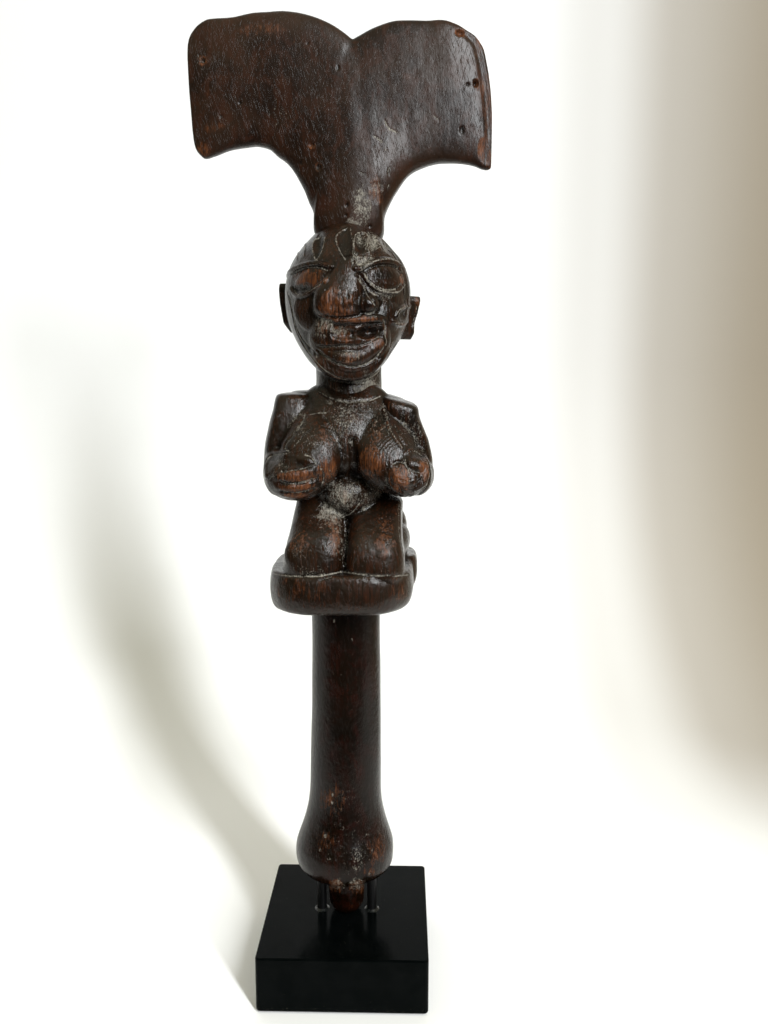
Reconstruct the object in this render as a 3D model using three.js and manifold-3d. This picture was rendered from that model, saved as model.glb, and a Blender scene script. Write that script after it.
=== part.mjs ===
// A carved wooden dance wand on its display stand, in millimetres, +Z up.
// The wand is one carving: a double axe blade on the head of a kneeling figure, a platform, a grip
// with a flared pommel, and a short peg. Two steel pins in a square block hold it up.
// The front of the figure faces -Y, and the origin is the middle of the stand's underside.

import * as THREE from "three";
import { mergeVertices } from "three/addons/utils/BufferGeometryUtils.js";
import Module from "manifold-3d";

const wasm = await Module();
wasm.setup();

// Stand
const blockSide = 76.2;
const blockHeight = 25.4;
const blockCornerRadius = 1.2;
const blockEdgeRound = 0.7;
const feltThickness = 1;
const feltInset = 2.2;
const pinRadius = 2.2;
const pinTopRound = 0.8;
const pinFloor = 6;
const pinDepthInPommel = 19;
const pinToPegGap = 0.9;
const beadWidth = 1.1;
const beadHeight = 0.8;

// Clearances
const holeClearance = 0.3;
const seatGap = 0.3;
const overrun = 2;

// Peg, pommel and grip
const pegLength = 20.4;
const pegRadius = 8.8;
const pommelRadius = 23;
const pommelDrop = 9.8;
const pommelRise = 27.9;
const gripRadius = 15.6;
const gripSwell = 0.9;
const gripLength = 93.3;

// Platform
const platformWidth = 63.6;
const platformDepth = 67;
const platformThickness = 18.2;
const platformOffset = -0.9;

// Kneeling figure
const figureOffset = 1.6;
const bodyTurn = 4;
const legLean = 4;
const legOffset = 0.8;
const armSpan = 75;
const kneelDepth = 68;
const bodyHeight = 76;
const neckRadius = 14.4;
const neckLength = 18;

// Head
const headWidth = 52;
const headDepth = 57;
const crownHeight = 25;
const jawHeight = 40;
const chinForward = 17;
const chinDrop = 5;
const hairThickness = 0.6;
const earReach = 4.6;
const earInset = 8;
const earHeight = 22;
const earThickness = 11;
const earBevel = 1.2;

// Double axe blade
const bladeSpan = 126.6;
const bladeRise = 84;
const bladeNeckThickness = 27;
const bladeThickness = 13;
const bladeEdgeThickness = 4;

// How boxy a cross section is: 1 is an ellipse, and less is nearer to a rectangle
const roundSquareness = 1;
const softSquareness = 0.85;
const boxySquareness = 0.62;

// Facets
const latheSides = 28;
const limbSides = 12;
const ballSides = 12;
const ballRings = 7;
const trunkSides = 22;
const fingerSides = 8;
const platformSides = 28;
const bladeSides = 14;
const bladeStepsPerStation = 2;
const bevelSteps = 2;
const cornerSteps = 4;

// Levels, from the table up
const blockTop = feltThickness + blockHeight;
const pegTip = blockTop + seatGap;
const pommelUnderside = pegTip + pegLength;
const pommelWidest = pommelUnderside + pommelDrop;
const gripStart = pommelWidest + pommelRise;
const platformUnderside = gripStart + gripLength;
const platformTop = platformUnderside + platformThickness;
const shoulderTop = platformTop + bodyHeight;
const headWidest = shoulderTop + chinDrop + jawHeight;
const crown = headWidest + crownHeight;
const pinOffset = pegRadius + pinToPegGap + pinRadius;

// Turns a geometry into a solid that can be joined and cut.
function solidOf(geometry) {
  const bare = new THREE.BufferGeometry();
  bare.setAttribute("position", geometry.getAttribute("position"));
  bare.setIndex(geometry.getIndex());
  const merged = mergeVertices(bare);
  const mesh = new wasm.Mesh({
    numProp: 3,
    vertProperties: merged.getAttribute("position").array,
    triVerts: new Uint32Array(merged.getIndex().array),
  });
  return new wasm.Manifold(mesh);
}

// Turns a solid back into a geometry.
function geometryOf(solid) {
  const mesh = solid.getMesh();
  const geometry = new THREE.BufferGeometry();
  geometry.setAttribute("position", new THREE.BufferAttribute(mesh.vertProperties, mesh.numProp));
  geometry.setIndex(new THREE.BufferAttribute(mesh.triVerts, 1));
  return geometry.toNonIndexed();
}

// Joins solids in pairs.
function join(solids) {
  return solids.reduce((whole, next) => whole.add(next));
}

// A closed skin through rings of equal count, with a flat fan on both ends.
function loft(rings) {
  const around = rings[0].length;
  const points = rings.flat();
  const middle = (ring) => {
    const sum = new THREE.Vector3();
    ring.forEach((point) => sum.add(point));
    return sum.divideScalar(ring.length);
  };
  const firstMiddle = points.push(middle(rings[0])) - 1;
  const lastMiddle = points.push(middle(rings.at(-1))) - 1;
  const lastRing = (rings.length - 1) * around;
  const faces = [];
  for (let i = 0; i < around; i += 1) {
    const j = (i + 1) % around;
    faces.push([firstMiddle, j, i]);
    faces.push([lastMiddle, lastRing + i, lastRing + j]);
    for (let below = 0; below < lastRing; below += around) {
      const above = below + around;
      faces.push([below + i, below + j, above + j]);
      faces.push([below + i, above + j, above + i]);
    }
  }
  const volume = faces.reduce(
    (sum, [a, b, c]) => sum + points[a].dot(points[b].clone().cross(points[c])), 0);
  const outward = volume > 0 ? faces : faces.map(([a, b, c]) => [a, c, b]);
  const geometry = new THREE.BufferGeometry().setFromPoints(points);
  geometry.setIndex(outward.flat());
  return solidOf(geometry);
}

// A ring round a centre, spanned by two half axes.
function ring(centre, sideAxis, frontAxis, squareness, count) {
  const bend = (value) => Math.sign(value) * Math.abs(value) ** squareness;
  return Array.from({ length: count }, (_, i) => {
    const angle = (i / count) * 2 * Math.PI;
    return centre.clone()
      .addScaledVector(sideAxis, bend(Math.cos(angle)))
      .addScaledVector(frontAxis, bend(Math.sin(angle)));
  });
}

// A limb with round ends: each station has a centre, a half width and a half depth.
function limb(stations, squareness = softSquareness, sides = limbSides) {
  const tangentAt = (i) => {
    const before = stations[Math.max(i - 1, 0)].at;
    const after = stations[Math.min(i + 1, stations.length - 1)].at;
    return after.clone().sub(before).normalize();
  };
  const section = (station, tangent, lift, scale) => {
    const side = new THREE.Vector3(1, 0, 0);
    if (Math.abs(tangent.x) > Math.SQRT1_2) side.set(0, 0, 1);
    side.addScaledVector(tangent, -side.dot(tangent)).normalize();
    const front = tangent.clone().cross(side);
    const centre = station.at.clone().addScaledVector(tangent, lift * Math.min(station.wide, station.deep));
    side.multiplyScalar(station.wide * scale);
    front.multiplyScalar(station.deep * scale);
    return ring(centre, side, front, squareness, sides);
  };
  const capTurnShares = [0.25, 0.65];
  const capAngles = capTurnShares.map((share) => share * Math.PI / 2);
  const last = stations.length - 1;
  const startCap = capAngles.map((a) => section(stations[0], tangentAt(0), -Math.cos(a), Math.sin(a)));
  const body = stations.map((station, i) => section(station, tangentAt(i), 0, 1));
  const endCap = capAngles.toReversed().map(
    (a) => section(stations[last], tangentAt(last), Math.cos(a), Math.sin(a)));
  return loft([...startCap, ...body, ...endCap]);
}

// An ellipsoid round a centre, with its three half axes.
function ball(centre, halfAxes) {
  const geometry = new THREE.SphereGeometry(1, ballSides, ballRings);
  geometry.rotateX(Math.PI / 2);
  geometry.scale(halfAxes.x, halfAxes.y, halfAxes.z);
  geometry.translate(centre.x, centre.y, centre.z);
  return solidOf(geometry);
}

// A turned solid from [radius, height] pairs that start and end on the axis, standing on +Z.
function turned(profile, sides = latheSides) {
  const points = profile.map(([radius, height]) => new THREE.Vector2(radius, height));
  const geometry = new THREE.LatheGeometry(points, sides);
  geometry.rotateX(Math.PI / 2);
  return solidOf(geometry);
}

// A square slab with rounded corners, from z = low to z = high, with eased edges.
function slab(side, cornerRadius, edgeRound, low, high) {
  const half = side / 2 - edgeRound;
  const corner = cornerRadius;
  const shape = new THREE.Shape();
  shape.moveTo(-half + corner, -half);
  shape.lineTo(half - corner, -half);
  shape.absarc(half - corner, -half + corner, corner, -Math.PI / 2, 0);
  shape.lineTo(half, half - corner);
  shape.absarc(half - corner, half - corner, corner, 0, Math.PI / 2);
  shape.lineTo(-half + corner, half);
  shape.absarc(-half + corner, half - corner, corner, Math.PI / 2, Math.PI);
  shape.lineTo(-half, -half + corner);
  shape.absarc(-half + corner, -half + corner, corner, Math.PI, 3 * Math.PI / 2);
  const geometry = new THREE.ExtrudeGeometry(shape, {
    depth: high - low - 2 * edgeRound,
    bevelEnabled: edgeRound > 0,
    bevelThickness: edgeRound,
    bevelSize: edgeRound,
    bevelSegments: bevelSteps,
    curveSegments: cornerSteps,
  });
  geometry.translate(0, 0, low + edgeRound);
  return solidOf(geometry);
}

// A round rod or hole along Z at x = offset, with an optional eased top edge.
function upright(radius, low, high, offset, topRound = 0) {
  const top = topRound > 0
    ? [[radius, high - topRound], [radius - topRound, high]]
    : [[radius, high]];
  return turned([[0, low], [radius, low], ...top, [0, high]], limbSides).translate([offset, 0, 0]);
}

// Peg, pommel and grip, turned on one axis
function makeGrip() {
  const pegRadiusShares = [0, 0.36, 0.6, 0.78, 0.9, 0.96, 1];
  const pegHeightShares = [0, 0.03, 0.1, 0.22, 0.38, 0.6, 1];
  const peg = pegRadiusShares.map((share, i) => [share * pegRadius, pegTip + pegHeightShares[i] * pegLength]);
  const bowlTurnShares = [0.3, 0.45, 0.6, 0.75, 0.88, 1];
  const bowlOut = (share) => Math.sin(share * Math.PI / 2);
  const firstOut = bowlOut(bowlTurnShares[0]);
  const bowl = bowlTurnShares.map((share) => [
    THREE.MathUtils.mapLinear(bowlOut(share), firstOut, 1, pegRadius, pommelRadius),
    pommelWidest - pommelDrop * Math.cos(share * Math.PI / 2),
  ]);
  const flareShares = [[0.955, 0.2], [0.76, 0.36], [0.5, 0.53], [0.27, 0.72], [0.1, 0.9]];
  const flare = flareShares.map(([outShare, upShare]) => [
    THREE.MathUtils.lerp(gripRadius + gripSwell, pommelRadius, outShare),
    pommelWidest + upShare * pommelRise,
  ]);
  const shaftShares = [[0.9, 0.08], [0.6, 0.22], [0.3, 0.42], [0.08, 0.66], [0, 0.9]];
  const shaft = shaftShares.map(([swellShare, upShare]) => [
    gripRadius + gripSwell * swellShare,
    gripStart + upShare * gripLength,
  ]);
  const buried = platformUnderside + platformThickness / 2;
  return turned([...peg, ...bowl, ...flare, ...shaft, [gripRadius, buried], [0, buried]]);
}

// The rounded slab under the knees
function makePlatform() {
  const bandShares = [
    [0.8, 0], [0.9, 0.05], [0.965, 0.17], [1, 0.42], [1, 0.66], [0.985, 0.86], [0.955, 0.96], [0.91, 1]];
  const rings = bandShares.map(([outShare, upShare]) => ring(
    new THREE.Vector3(platformOffset, 0, platformUnderside + upShare * platformThickness),
    new THREE.Vector3(outShare * platformWidth / 2, 0, 0),
    new THREE.Vector3(0, outShare * platformDepth / 2, 0),
    boxySquareness, platformSides));
  return loft(rings);
}

// A place in the body, in shares of half the arm span, half the kneeling depth and the body height
function bodyPlace([side, back, up]) {
  return new THREE.Vector3(side * armSpan / 2, back * kneelDepth / 2, platformTop + up * bodyHeight);
}

// A limb in the body: a station holds a place, a half width and a half depth, in shares of half the arm span
function bodyLimb(stationShares, squareness, sides) {
  const stations = stationShares.map(([side, back, up, wide, deep]) => ({
    at: bodyPlace([side, back, up]), wide: wide * armSpan / 2, deep: deep * armSpan / 2,
  }));
  return limb(stations, squareness, sides);
}

function bodyBall(placeShares, [wide, deep, high]) {
  return ball(bodyPlace(placeShares), new THREE.Vector3(wide, deep, high).multiplyScalar(armSpan / 2));
}

// A form made of level bands: height, half width, front and back, about its own middle line
function bodyBands(bandShares, middleShare, squareness, sides) {
  return loft(bandShares.map(([up, wide, front, back]) => ring(
    bodyPlace([middleShare, (front + back) / 2, up]),
    new THREE.Vector3(wide * armSpan / 2, 0, 0),
    new THREE.Vector3(0, (back - front) / 2 * kneelDepth / 2, 0),
    squareness, sides)));
}

// The same form on the figure's other side
function mirrored(solid) {
  return solid.mirror([1, 0, 0]);
}

// Trunk, from the seat to the boxy shoulders, with the belly
function makeTrunk() {
  const bandShares = [
    [0.02, 0.45, -0.1, 0.65], [0.24, 0.55, -0.2, 0.68], [0.35, 0.57, -0.27, 0.57], [0.46, 0.53, -0.28, 0.46],
    [0.56, 0.54, -0.27, 0.44], [0.69, 0.62, -0.27, 0.47], [0.82, 0.71, -0.26, 0.5], [0.91, 0.78, -0.24, 0.48],
    [0.955, 0.775, -0.21, 0.45], [0.983, 0.71, -0.15, 0.4], [1, 0.54, -0.08, 0.32]];
  const chest = bodyBall([0, -0.38, 0.67], [0.3, 0.27, 0.42]);
  const belly = bodyBall([0, -0.26, 0.42], [0.38, 0.33, 0.3]);
  const navel = bodyBall([0, -0.58, 0.44], [0.15, 0.11, 0.17]);
  return join([bodyBands(bandShares, 0, boxySquareness, trunkSides), chest, belly, navel]);
}

// One folded leg: the column of thigh and knee in front, the calf, foot and buttock behind
function makeLeg() {
  const columnShares = [
    [0, 0.32, -0.88, 0.05], [0.05, 0.328, -0.92, 0.08], [0.14, 0.328, -0.91, 0.1], [0.19, 0.322, -0.84, 0.1],
    [0.26, 0.312, -0.7, 0.1], [0.33, 0.3, -0.55, 0.1], [0.39, 0.288, -0.42, 0.1], [0.44, 0.24, -0.28, 0.1]];
  const columnMiddleShare = 0.318;
  const column = bodyBands(columnShares, columnMiddleShare, boxySquareness, limbSides);
  const kneecap = bodyBall([0.43, -0.84, 0.09], [0.13, 0.1, 0.11]);
  const calf = bodyLimb([
    [0.44, -0.3, 0.07, 0.2, 0.17], [0.46, 0.2, 0.075, 0.21, 0.18], [0.42, 0.55, 0.065, 0.19, 0.15]]);
  const foot = bodyLimb([[0.4, 0.6, 0.06, 0.17, 0.13], [0.34, 0.84, 0.05, 0.18, 0.1]]);
  const buttock = bodyBall([0.31, 0.42, 0.22], [0.4, 0.4, 0.35]);
  return join([column, kneecap, calf, foot, buttock]);
}

// One arm and its hand: the thumb above and four fingers round the breast from outside
function makeArm() {
  const upperArm = bodyLimb([
    [0.67, 0.09, 0.885, 0.175, 0.27], [0.785, 0.12, 0.745, 0.165, 0.27], [0.85, 0.16, 0.6, 0.15, 0.25]],
  boxySquareness);
  const forearm = bodyLimb([
    [0.85, 0.16, 0.545, 0.145, 0.17], [0.83, -0.3, 0.525, 0.155, 0.19], [0.76, -0.6, 0.525, 0.17, 0.21]]);
  const palm = bodyBall([0.68, -0.68, 0.53], [0.24, 0.24, 0.24]);
  const thumb = bodyLimb([
    [0.82, -0.62, 0.58, 0.09, 0.09], [0.66, -0.93, 0.645, 0.095, 0.095]], roundSquareness, fingerSides);
  const middleShares = [0.48, -0.76, 0.53];
  const reachShares = [0.4, 0.34, 0.29];
  const fingerThicknessShare = 0.058;
  const fingerLevelShares = [0.42, -0.02, -0.44, -0.8];
  const startAngle = THREE.MathUtils.degToRad(15);
  const endAngle = THREE.MathUtils.degToRad(118);
  const fingerStations = 4;
  const fingerRadius = fingerThicknessShare * armSpan / 2;
  const fingers = fingerLevelShares.map((level) => {
    const girth = Math.sqrt(1 - level * level);
    const stations = Array.from({ length: fingerStations }, (_, i) => {
      const angle = THREE.MathUtils.lerp(startAngle, endAngle, i / (fingerStations - 1));
      const outShares = [
        reachShares[0] * girth * Math.cos(angle),
        -reachShares[1] * girth * Math.sin(angle),
        reachShares[2] * level,
      ];
      const out = new THREE.Vector3(...outShares).multiplyScalar(armSpan / 2);
      return { at: bodyPlace(middleShares).add(out), wide: fingerRadius, deep: fingerRadius };
    });
    return limb(stations, roundSquareness, fingerSides);
  });
  return join([upperArm, forearm, palm, thumb, ...fingers]);
}

function makeBreast() {
  return bodyLimb([
    [0.235, -0.03, 0.9, 0.23, 0.16], [0.31, -0.4, 0.77, 0.32, 0.27], [0.4, -0.68, 0.65, 0.38, 0.31],
    [0.48, -0.81, 0.565, 0.35, 0.28]], roundSquareness);
}

// The egg of the head, or of the hair when it is thicker
function makeEgg(extra) {
  const poleTurnShares = [0.04, 0.14, 0.26, 0.38, 0.5, 0.6, 0.7, 0.8, 0.89, 0.96];
  const rings = poleTurnShares.map((share) => {
    const angle = share * Math.PI;
    const isJaw = Math.cos(angle) < 0;
    const reach = (isJaw ? jawHeight : crownHeight) + extra;
    const width = Math.sin(angle);
    const shift = isJaw ? (1 - width) * chinForward : 0;
    return ring(
      new THREE.Vector3(0, -shift, headWidest + reach * Math.cos(angle)),
      new THREE.Vector3(width * (headWidth / 2 + extra), 0, 0),
      new THREE.Vector3(0, width * (headDepth / 2 + extra), 0),
      roundSquareness, trunkSides);
  });
  return loft(rings);
}

// The cap of hair, cut off by a plane that rises towards the forehead
function makeHair() {
  const cutter = new THREE.BoxGeometry(2 * headWidth, 2 * headDepth, 2 * headWidth);
  cutter.translate(0, 0, -headWidth);
  const hairlineTilt = THREE.MathUtils.degToRad(-24);
  cutter.rotateX(hairlineTilt);
  const hairlineShare = 0.02;
  cutter.translate(0, 0, headWidest + hairlineShare * crownHeight);
  return makeEgg(hairThickness).subtract(solidOf(cutter));
}

// A place in the head, in shares of half its width, half its depth and its height above or below
// the widest level
function headPlace([side, back, up]) {
  return new THREE.Vector3(
    side * headWidth / 2, back * headDepth / 2, headWidest + up * (up > 0 ? crownHeight : jawHeight));
}

function headBall(placeShares, [wide, deep, high]) {
  return ball(headPlace(placeShares), new THREE.Vector3(wide, deep, high).multiplyScalar(headWidth / 2));
}

function headLimb(stationShares, squareness, sides) {
  return limb(stationShares.map(([side, back, up, wide, deep]) => ({
    at: headPlace([side, back, up]), wide: wide * headWidth / 2, deep: deep * headWidth / 2,
  })), squareness, sides);
}

// A flat ear that narrows downwards
function makeEar() {
  const inner = headWidth / 2 - earInset;
  const outer = headWidth / 2 + earReach - earBevel;
  const top = headWidest - earBevel;
  const outlineShares = [[0, 0], [1, 0.02], [0.9, -0.35], [0.62, -0.7], [0.45, -1], [0, -1]];
  const outline = outlineShares.map(([outShare, downShare]) => new THREE.Vector2(
    inner + outShare * (outer - inner), top + downShare * (earHeight - 2 * earBevel)));
  const geometry = new THREE.ExtrudeGeometry(new THREE.Shape(outline), {
    depth: earThickness - 2 * earBevel,
    bevelThickness: earBevel,
    bevelSize: earBevel,
    bevelSegments: bevelSteps,
  });
  geometry.rotateX(Math.PI / 2);
  geometry.translate(0, earThickness - earBevel, 0);
  return solidOf(geometry);
}

// The wide open mouth: a muzzle with two full lips and the opening between them
function makeMouth() {
  const muzzle = headBall([0, -0.78, -0.6], [0.6, 0.37, 0.4]);
  const upperLip = headLimb([
    [-0.54, -0.87, -0.5, 0.08, 0.08], [-0.28, -1.06, -0.44, 0.1, 0.1], [0, -1.12, -0.42, 0.11, 0.11],
    [0.28, -1.06, -0.44, 0.1, 0.1], [0.54, -0.87, -0.5, 0.08, 0.08]], roundSquareness, fingerSides);
  const lowerLip = headLimb([
    [-0.55, -0.82, -0.58, 0.08, 0.08], [-0.36, -0.92, -0.73, 0.1, 0.1], [0, -0.98, -0.81, 0.12, 0.12],
    [0.36, -0.92, -0.73, 0.1, 0.1], [0.55, -0.82, -0.58, 0.08, 0.08]], roundSquareness, fingerSides);
  const opening = headBall([0, -1.14, -0.6], [0.42, 0.2, 0.17]);
  return join([muzzle.subtract(opening), upperLip, lowerLip]);
}

// Head with the large eyes and broad nose of the style
function makeHead() {
  const eye = headBall([0.57, -0.62, 0], [0.37, 0.24, 0.22]);
  const wing = headBall([0.27, -0.97, -0.31], [0.19, 0.17, 0.17]);
  const nose = headLimb([
    [0, -0.86, 0.02, 0.13, 0.12], [0, -1, -0.17, 0.19, 0.16], [0, -1.08, -0.3, 0.24, 0.18]],
  roundSquareness, fingerSides);
  const ear = makeEar();
  return join([
    makeEgg(0), makeHair(), eye, mirrored(eye), wing, mirrored(wing), nose, makeMouth(), ear, mirrored(ear)]);
}

// The neck, with a foot that runs out into the chest
function makeNeck() {
  const neckShares = [[0, -0.8], [0.5, -0.8], [1, -0.16], [0.97, 0.3], [1, 1], [0, 1]];
  return turned(neckShares.map(([outShare, upShare]) => [
    outShare * neckRadius,
    shoulderTop + upShare * neckLength,
  ]));
}

// The kneeling legs lean a little sideways, and the body above them is turned a little
function makeFigure() {
  const leg = makeLeg();
  const arm = makeArm();
  const breast = makeBreast();
  const legs = leg.add(mirrored(leg))
    .translate([0, 0, -platformTop]).rotate([0, legLean, 0]).translate([legOffset, 0, platformTop]);
  const body = join([makeTrunk(), arm, mirrored(arm), breast, mirrored(breast), makeNeck(), makeHead()])
    .rotate([0, 0, bodyTurn]).translate([figureOffset, 0, 0]);
  return legs.add(body);
}

// The double axe: chords from its lower edge to its upper edge, from the left end to the right end.
// A row holds the lower point, the upper point and how full the blade is at both, as a share that
// goes from 0 at the thin ends over 1 in the lobes to 2 at the neck.
function makeBlade() {
  const chordShares = [
    [-1.006, 0.43, -1.01, 0.86, 0, 0], [-0.965, 0.36, -0.975, 0.93, 0.25, 0.15],
    [-0.9, 0.337, -0.89, 0.968, 0.5, 0.4], [-0.74, 0.38, -0.72, 0.978, 0.62, 0.6],
    [-0.53, 0.391, -0.5, 0.997, 0.72, 0.7], [-0.4, 0.326, -0.33, 0.995, 0.85, 0.8],
    [-0.28, 0.21, -0.18, 0.97, 1.18, 0.8], [-0.205, 0.08, -0.06, 0.935, 1.55, 0.75],
    [-0.16, -0.05, 0.02, 0.895, 1.82, 0.7], [0.04, -0.14, 0.068, 0.868, 2, 0.65],
    [0.245, -0.05, 0.13, 0.897, 1.82, 0.7], [0.285, 0.085, 0.23, 0.93, 1.55, 0.75],
    [0.37, 0.205, 0.37, 0.953, 1.18, 0.8], [0.51, 0.29, 0.53, 0.96, 0.85, 0.8],
    [0.69, 0.318, 0.69, 0.958, 0.72, 0.7], [0.83, 0.303, 0.81, 0.918, 0.6, 0.55],
    [0.94, 0.283, 0.885, 0.865, 0.4, 0.35], [0.983, 0.36, 0.935, 0.76, 0.1, 0.1]];
  const thicknessOf = (fullShare) => (fullShare <= 1
    ? THREE.MathUtils.lerp(bladeEdgeThickness, bladeThickness, fullShare)
    : THREE.MathUtils.lerp(bladeThickness, bladeNeckThickness, fullShare - 1));
  const stations = chordShares.map(([lowX, lowUp, highX, highUp, lowFull, highFull]) => [
    lowX * bladeSpan / 2, crown + lowUp * bladeRise, highX * bladeSpan / 2, crown + highUp * bladeRise,
    thicknessOf(lowFull), thicknessOf(highFull)]);
  const smooth = stations[0].map((_, column) => new THREE.SplineCurve(
    stations.map((station, i) => new THREE.Vector2(i, station[column]))));
  const steps = (stations.length - 1) * bladeStepsPerStation;
  const edgeSquareness = 0.5;
  const rings = Array.from({ length: steps + 1 }, (_, step) => {
    const sizes = smooth.map((curve) => curve.getPoint(step / steps).y);
    const [lowX, lowZ, highX, highZ, lowThick, highThick] = sizes;
    return Array.from({ length: bladeSides }, (_, i) => {
      const angle = (i / bladeSides) * 2 * Math.PI;
      const rise = (1 - Math.cos(angle)) / 2;
      const half = THREE.MathUtils.lerp(lowThick, highThick, rise) / 2;
      const out = Math.sign(Math.sin(angle)) * Math.abs(Math.sin(angle)) ** edgeSquareness;
      return new THREE.Vector3(
        THREE.MathUtils.lerp(lowX, highX, rise), half * out, THREE.MathUtils.lerp(lowZ, highZ, rise));
    });
  });
  return loft(rings);
}

// The wand: one carving, drilled from below for the two pins
function makeWand() {
  const carving = join([makeGrip(), makePlatform(), makeFigure(), makeBlade()]);
  const holeTop = pommelUnderside + pinDepthInPommel + seatGap;
  const holes = [-pinOffset, pinOffset].map((offset) => upright(
    pinRadius + holeClearance, pommelUnderside - overrun, holeTop, offset));
  return carving.subtract(join(holes));
}

function makeBlock() {
  const block = slab(blockSide, blockCornerRadius, blockEdgeRound, feltThickness, blockTop);
  const sockets = [-pinOffset, pinOffset].map((offset) => upright(
    pinRadius + holeClearance, feltThickness + pinFloor, blockTop + overrun, offset));
  return block.subtract(join(sockets));
}

function makePin(offset) {
  const foot = feltThickness + pinFloor + seatGap;
  return upright(pinRadius, foot, pommelUnderside + pinDepthInPommel, offset, pinTopRound);
}

// A ring of hardened glue on the block round a pin's foot
function makeBead(offset) {
  const inner = pinRadius + holeClearance;
  const outer = inner + beadWidth;
  const [slopeOutShare, slopeUpShare] = [0.5, 0.4];
  const slope = [inner + slopeOutShare * beadWidth, blockTop + slopeUpShare * beadHeight];
  const foot = [inner, blockTop];
  const profile = [foot, [outer, blockTop], slope, [inner, blockTop + beadHeight], foot];
  return turned(profile, limbSides).translate([offset, 0, 0]);
}

function makeFelt() {
  return slab(blockSide - 2 * feltInset, blockCornerRadius, 0, 0, feltThickness);
}

const wood = new THREE.MeshStandardMaterial({ color: 0x2a1712, roughness: 0.38, metalness: 0 });
const blackPaint = new THREE.MeshStandardMaterial({ color: 0x0b0c0d, roughness: 0.3, metalness: 0 });
const blackSteel = new THREE.MeshStandardMaterial({ color: 0x08080a, roughness: 0.35, metalness: 0.6 });
const glue = new THREE.MeshStandardMaterial({ color: 0x1a1b1c, roughness: 0.15, metalness: 0 });
const felt = new THREE.MeshStandardMaterial({ color: 0x101210, roughness: 0.95, metalness: 0 });

const part = new THREE.Group();
const pieces = [
  ["wand", makeWand(), wood],
  ["display_block", makeBlock(), blackPaint],
  ["left_pin", makePin(-pinOffset), blackSteel],
  ["right_pin", makePin(pinOffset), blackSteel],
  ["left_pin_bead", makeBead(-pinOffset), glue],
  ["right_pin_bead", makeBead(pinOffset), glue],
  ["felt_pad", makeFelt(), felt],
];
for (const [name, solid, material] of pieces) {
  const mesh = new THREE.Mesh(geometryOf(solid), material);
  mesh.name = name;
  part.add(mesh);
}

export default part;
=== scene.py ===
# %% [markdown]
# # A carved dance wand on its display stand
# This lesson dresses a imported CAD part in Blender. The wand is one carving in dark, handled wood: a
# double axe blade on the head of a kneeling figure, a platform, a grip with a flared pommel and a
# short peg. Two black pins in a black block hold it up. The CAD part gives the places and the sizes.
# Here the same forms are carved again with many more faces, and get their finishes.

# %% Load the frame and measure it
import math
from contextlib import contextmanager

import bpy
import numpy as np
from mathutils import Euler, Matrix, Vector
from mathutils.kdtree import KDTree


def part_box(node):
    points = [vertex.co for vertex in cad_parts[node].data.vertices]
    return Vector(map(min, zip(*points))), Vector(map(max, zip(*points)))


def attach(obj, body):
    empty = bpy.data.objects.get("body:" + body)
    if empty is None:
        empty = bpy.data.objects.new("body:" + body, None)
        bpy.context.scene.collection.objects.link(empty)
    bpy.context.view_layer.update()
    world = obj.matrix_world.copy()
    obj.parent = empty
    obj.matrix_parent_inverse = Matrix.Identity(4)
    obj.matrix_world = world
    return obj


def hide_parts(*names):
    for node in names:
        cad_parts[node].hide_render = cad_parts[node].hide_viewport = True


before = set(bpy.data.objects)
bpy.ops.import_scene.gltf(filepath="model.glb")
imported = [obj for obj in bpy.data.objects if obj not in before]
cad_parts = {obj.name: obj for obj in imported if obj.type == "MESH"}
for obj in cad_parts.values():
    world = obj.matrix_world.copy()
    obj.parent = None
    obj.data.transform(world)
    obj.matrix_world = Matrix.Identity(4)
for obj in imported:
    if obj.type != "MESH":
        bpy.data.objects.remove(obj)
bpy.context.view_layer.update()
MM = 0.001

# %% [markdown]
# ## The camera
# The camera stands where the photograph was taken: a little above the middle of the wand, close by,
# and tipped down about eight degrees. Places on the carving are read off the picture, so the same
# numbers also turn a picture point into a line of sight, and a point on the wood into a picture point.

# %% Place the camera
PICTURE_WIDTH, PICTURE_HEIGHT = 768, 1024
FOCAL_PIXELS = 862.73
SENSOR_MM = 36
EYE = np.array([25.6, -381.4, 274.09])
PITCH, YAW, ROLL = (math.radians(a) for a in (8.312, -1.2235, 0.083))

level_right = Vector((math.cos(YAW), -math.sin(YAW), 0))
sight = Vector((math.sin(YAW) * math.cos(PITCH), math.cos(YAW) * math.cos(PITCH), -math.sin(PITCH)))
level_up = level_right.cross(sight)
right = level_right * math.cos(ROLL) + level_up * math.sin(ROLL)
up = level_up * math.cos(ROLL) - level_right * math.sin(ROLL)

bpy.ops.object.camera_add()
camera = bpy.context.object
camera.name = "camera"
camera.data.sensor_width = SENSOR_MM
camera.data.lens = FOCAL_PIXELS / PICTURE_HEIGHT * SENSOR_MM
stand_matrix = Matrix((right, up, -sight)).transposed().to_4x4()
stand_matrix.translation = Vector(EYE) * MM
camera.matrix_world = stand_matrix
bpy.context.scene.camera = camera
print("camera lens", round(camera.data.lens, 2), "mm")


# %% Turn picture points into places, and places into picture points
AXES = np.array([right, up, sight])


def sight_ray(across, down):
    return AXES.T @ np.array([across - PICTURE_WIDTH / 2, PICTURE_HEIGHT / 2 - down, FOCAL_PIXELS])


def sight_place(across, down, depth, slope=0.0):
    """The place, in mm, where a picture point's line of sight meets the upright plane y = depth + slope x."""
    ray = sight_ray(across, down)
    return EYE + ray * (depth + slope * EYE[0] - EYE[1]) / (ray[1] - slope * ray[0])


def picture_points(places):
    """Picture coordinates, across and down, of places in mm."""
    seen = (places - EYE) @ AXES.T
    across = PICTURE_WIDTH / 2 + FOCAL_PIXELS * seen[:, 0] / seen[:, 2]
    down = PICTURE_HEIGHT / 2 - FOCAL_PIXELS * seen[:, 1] / seen[:, 2]
    return across, down


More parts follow.
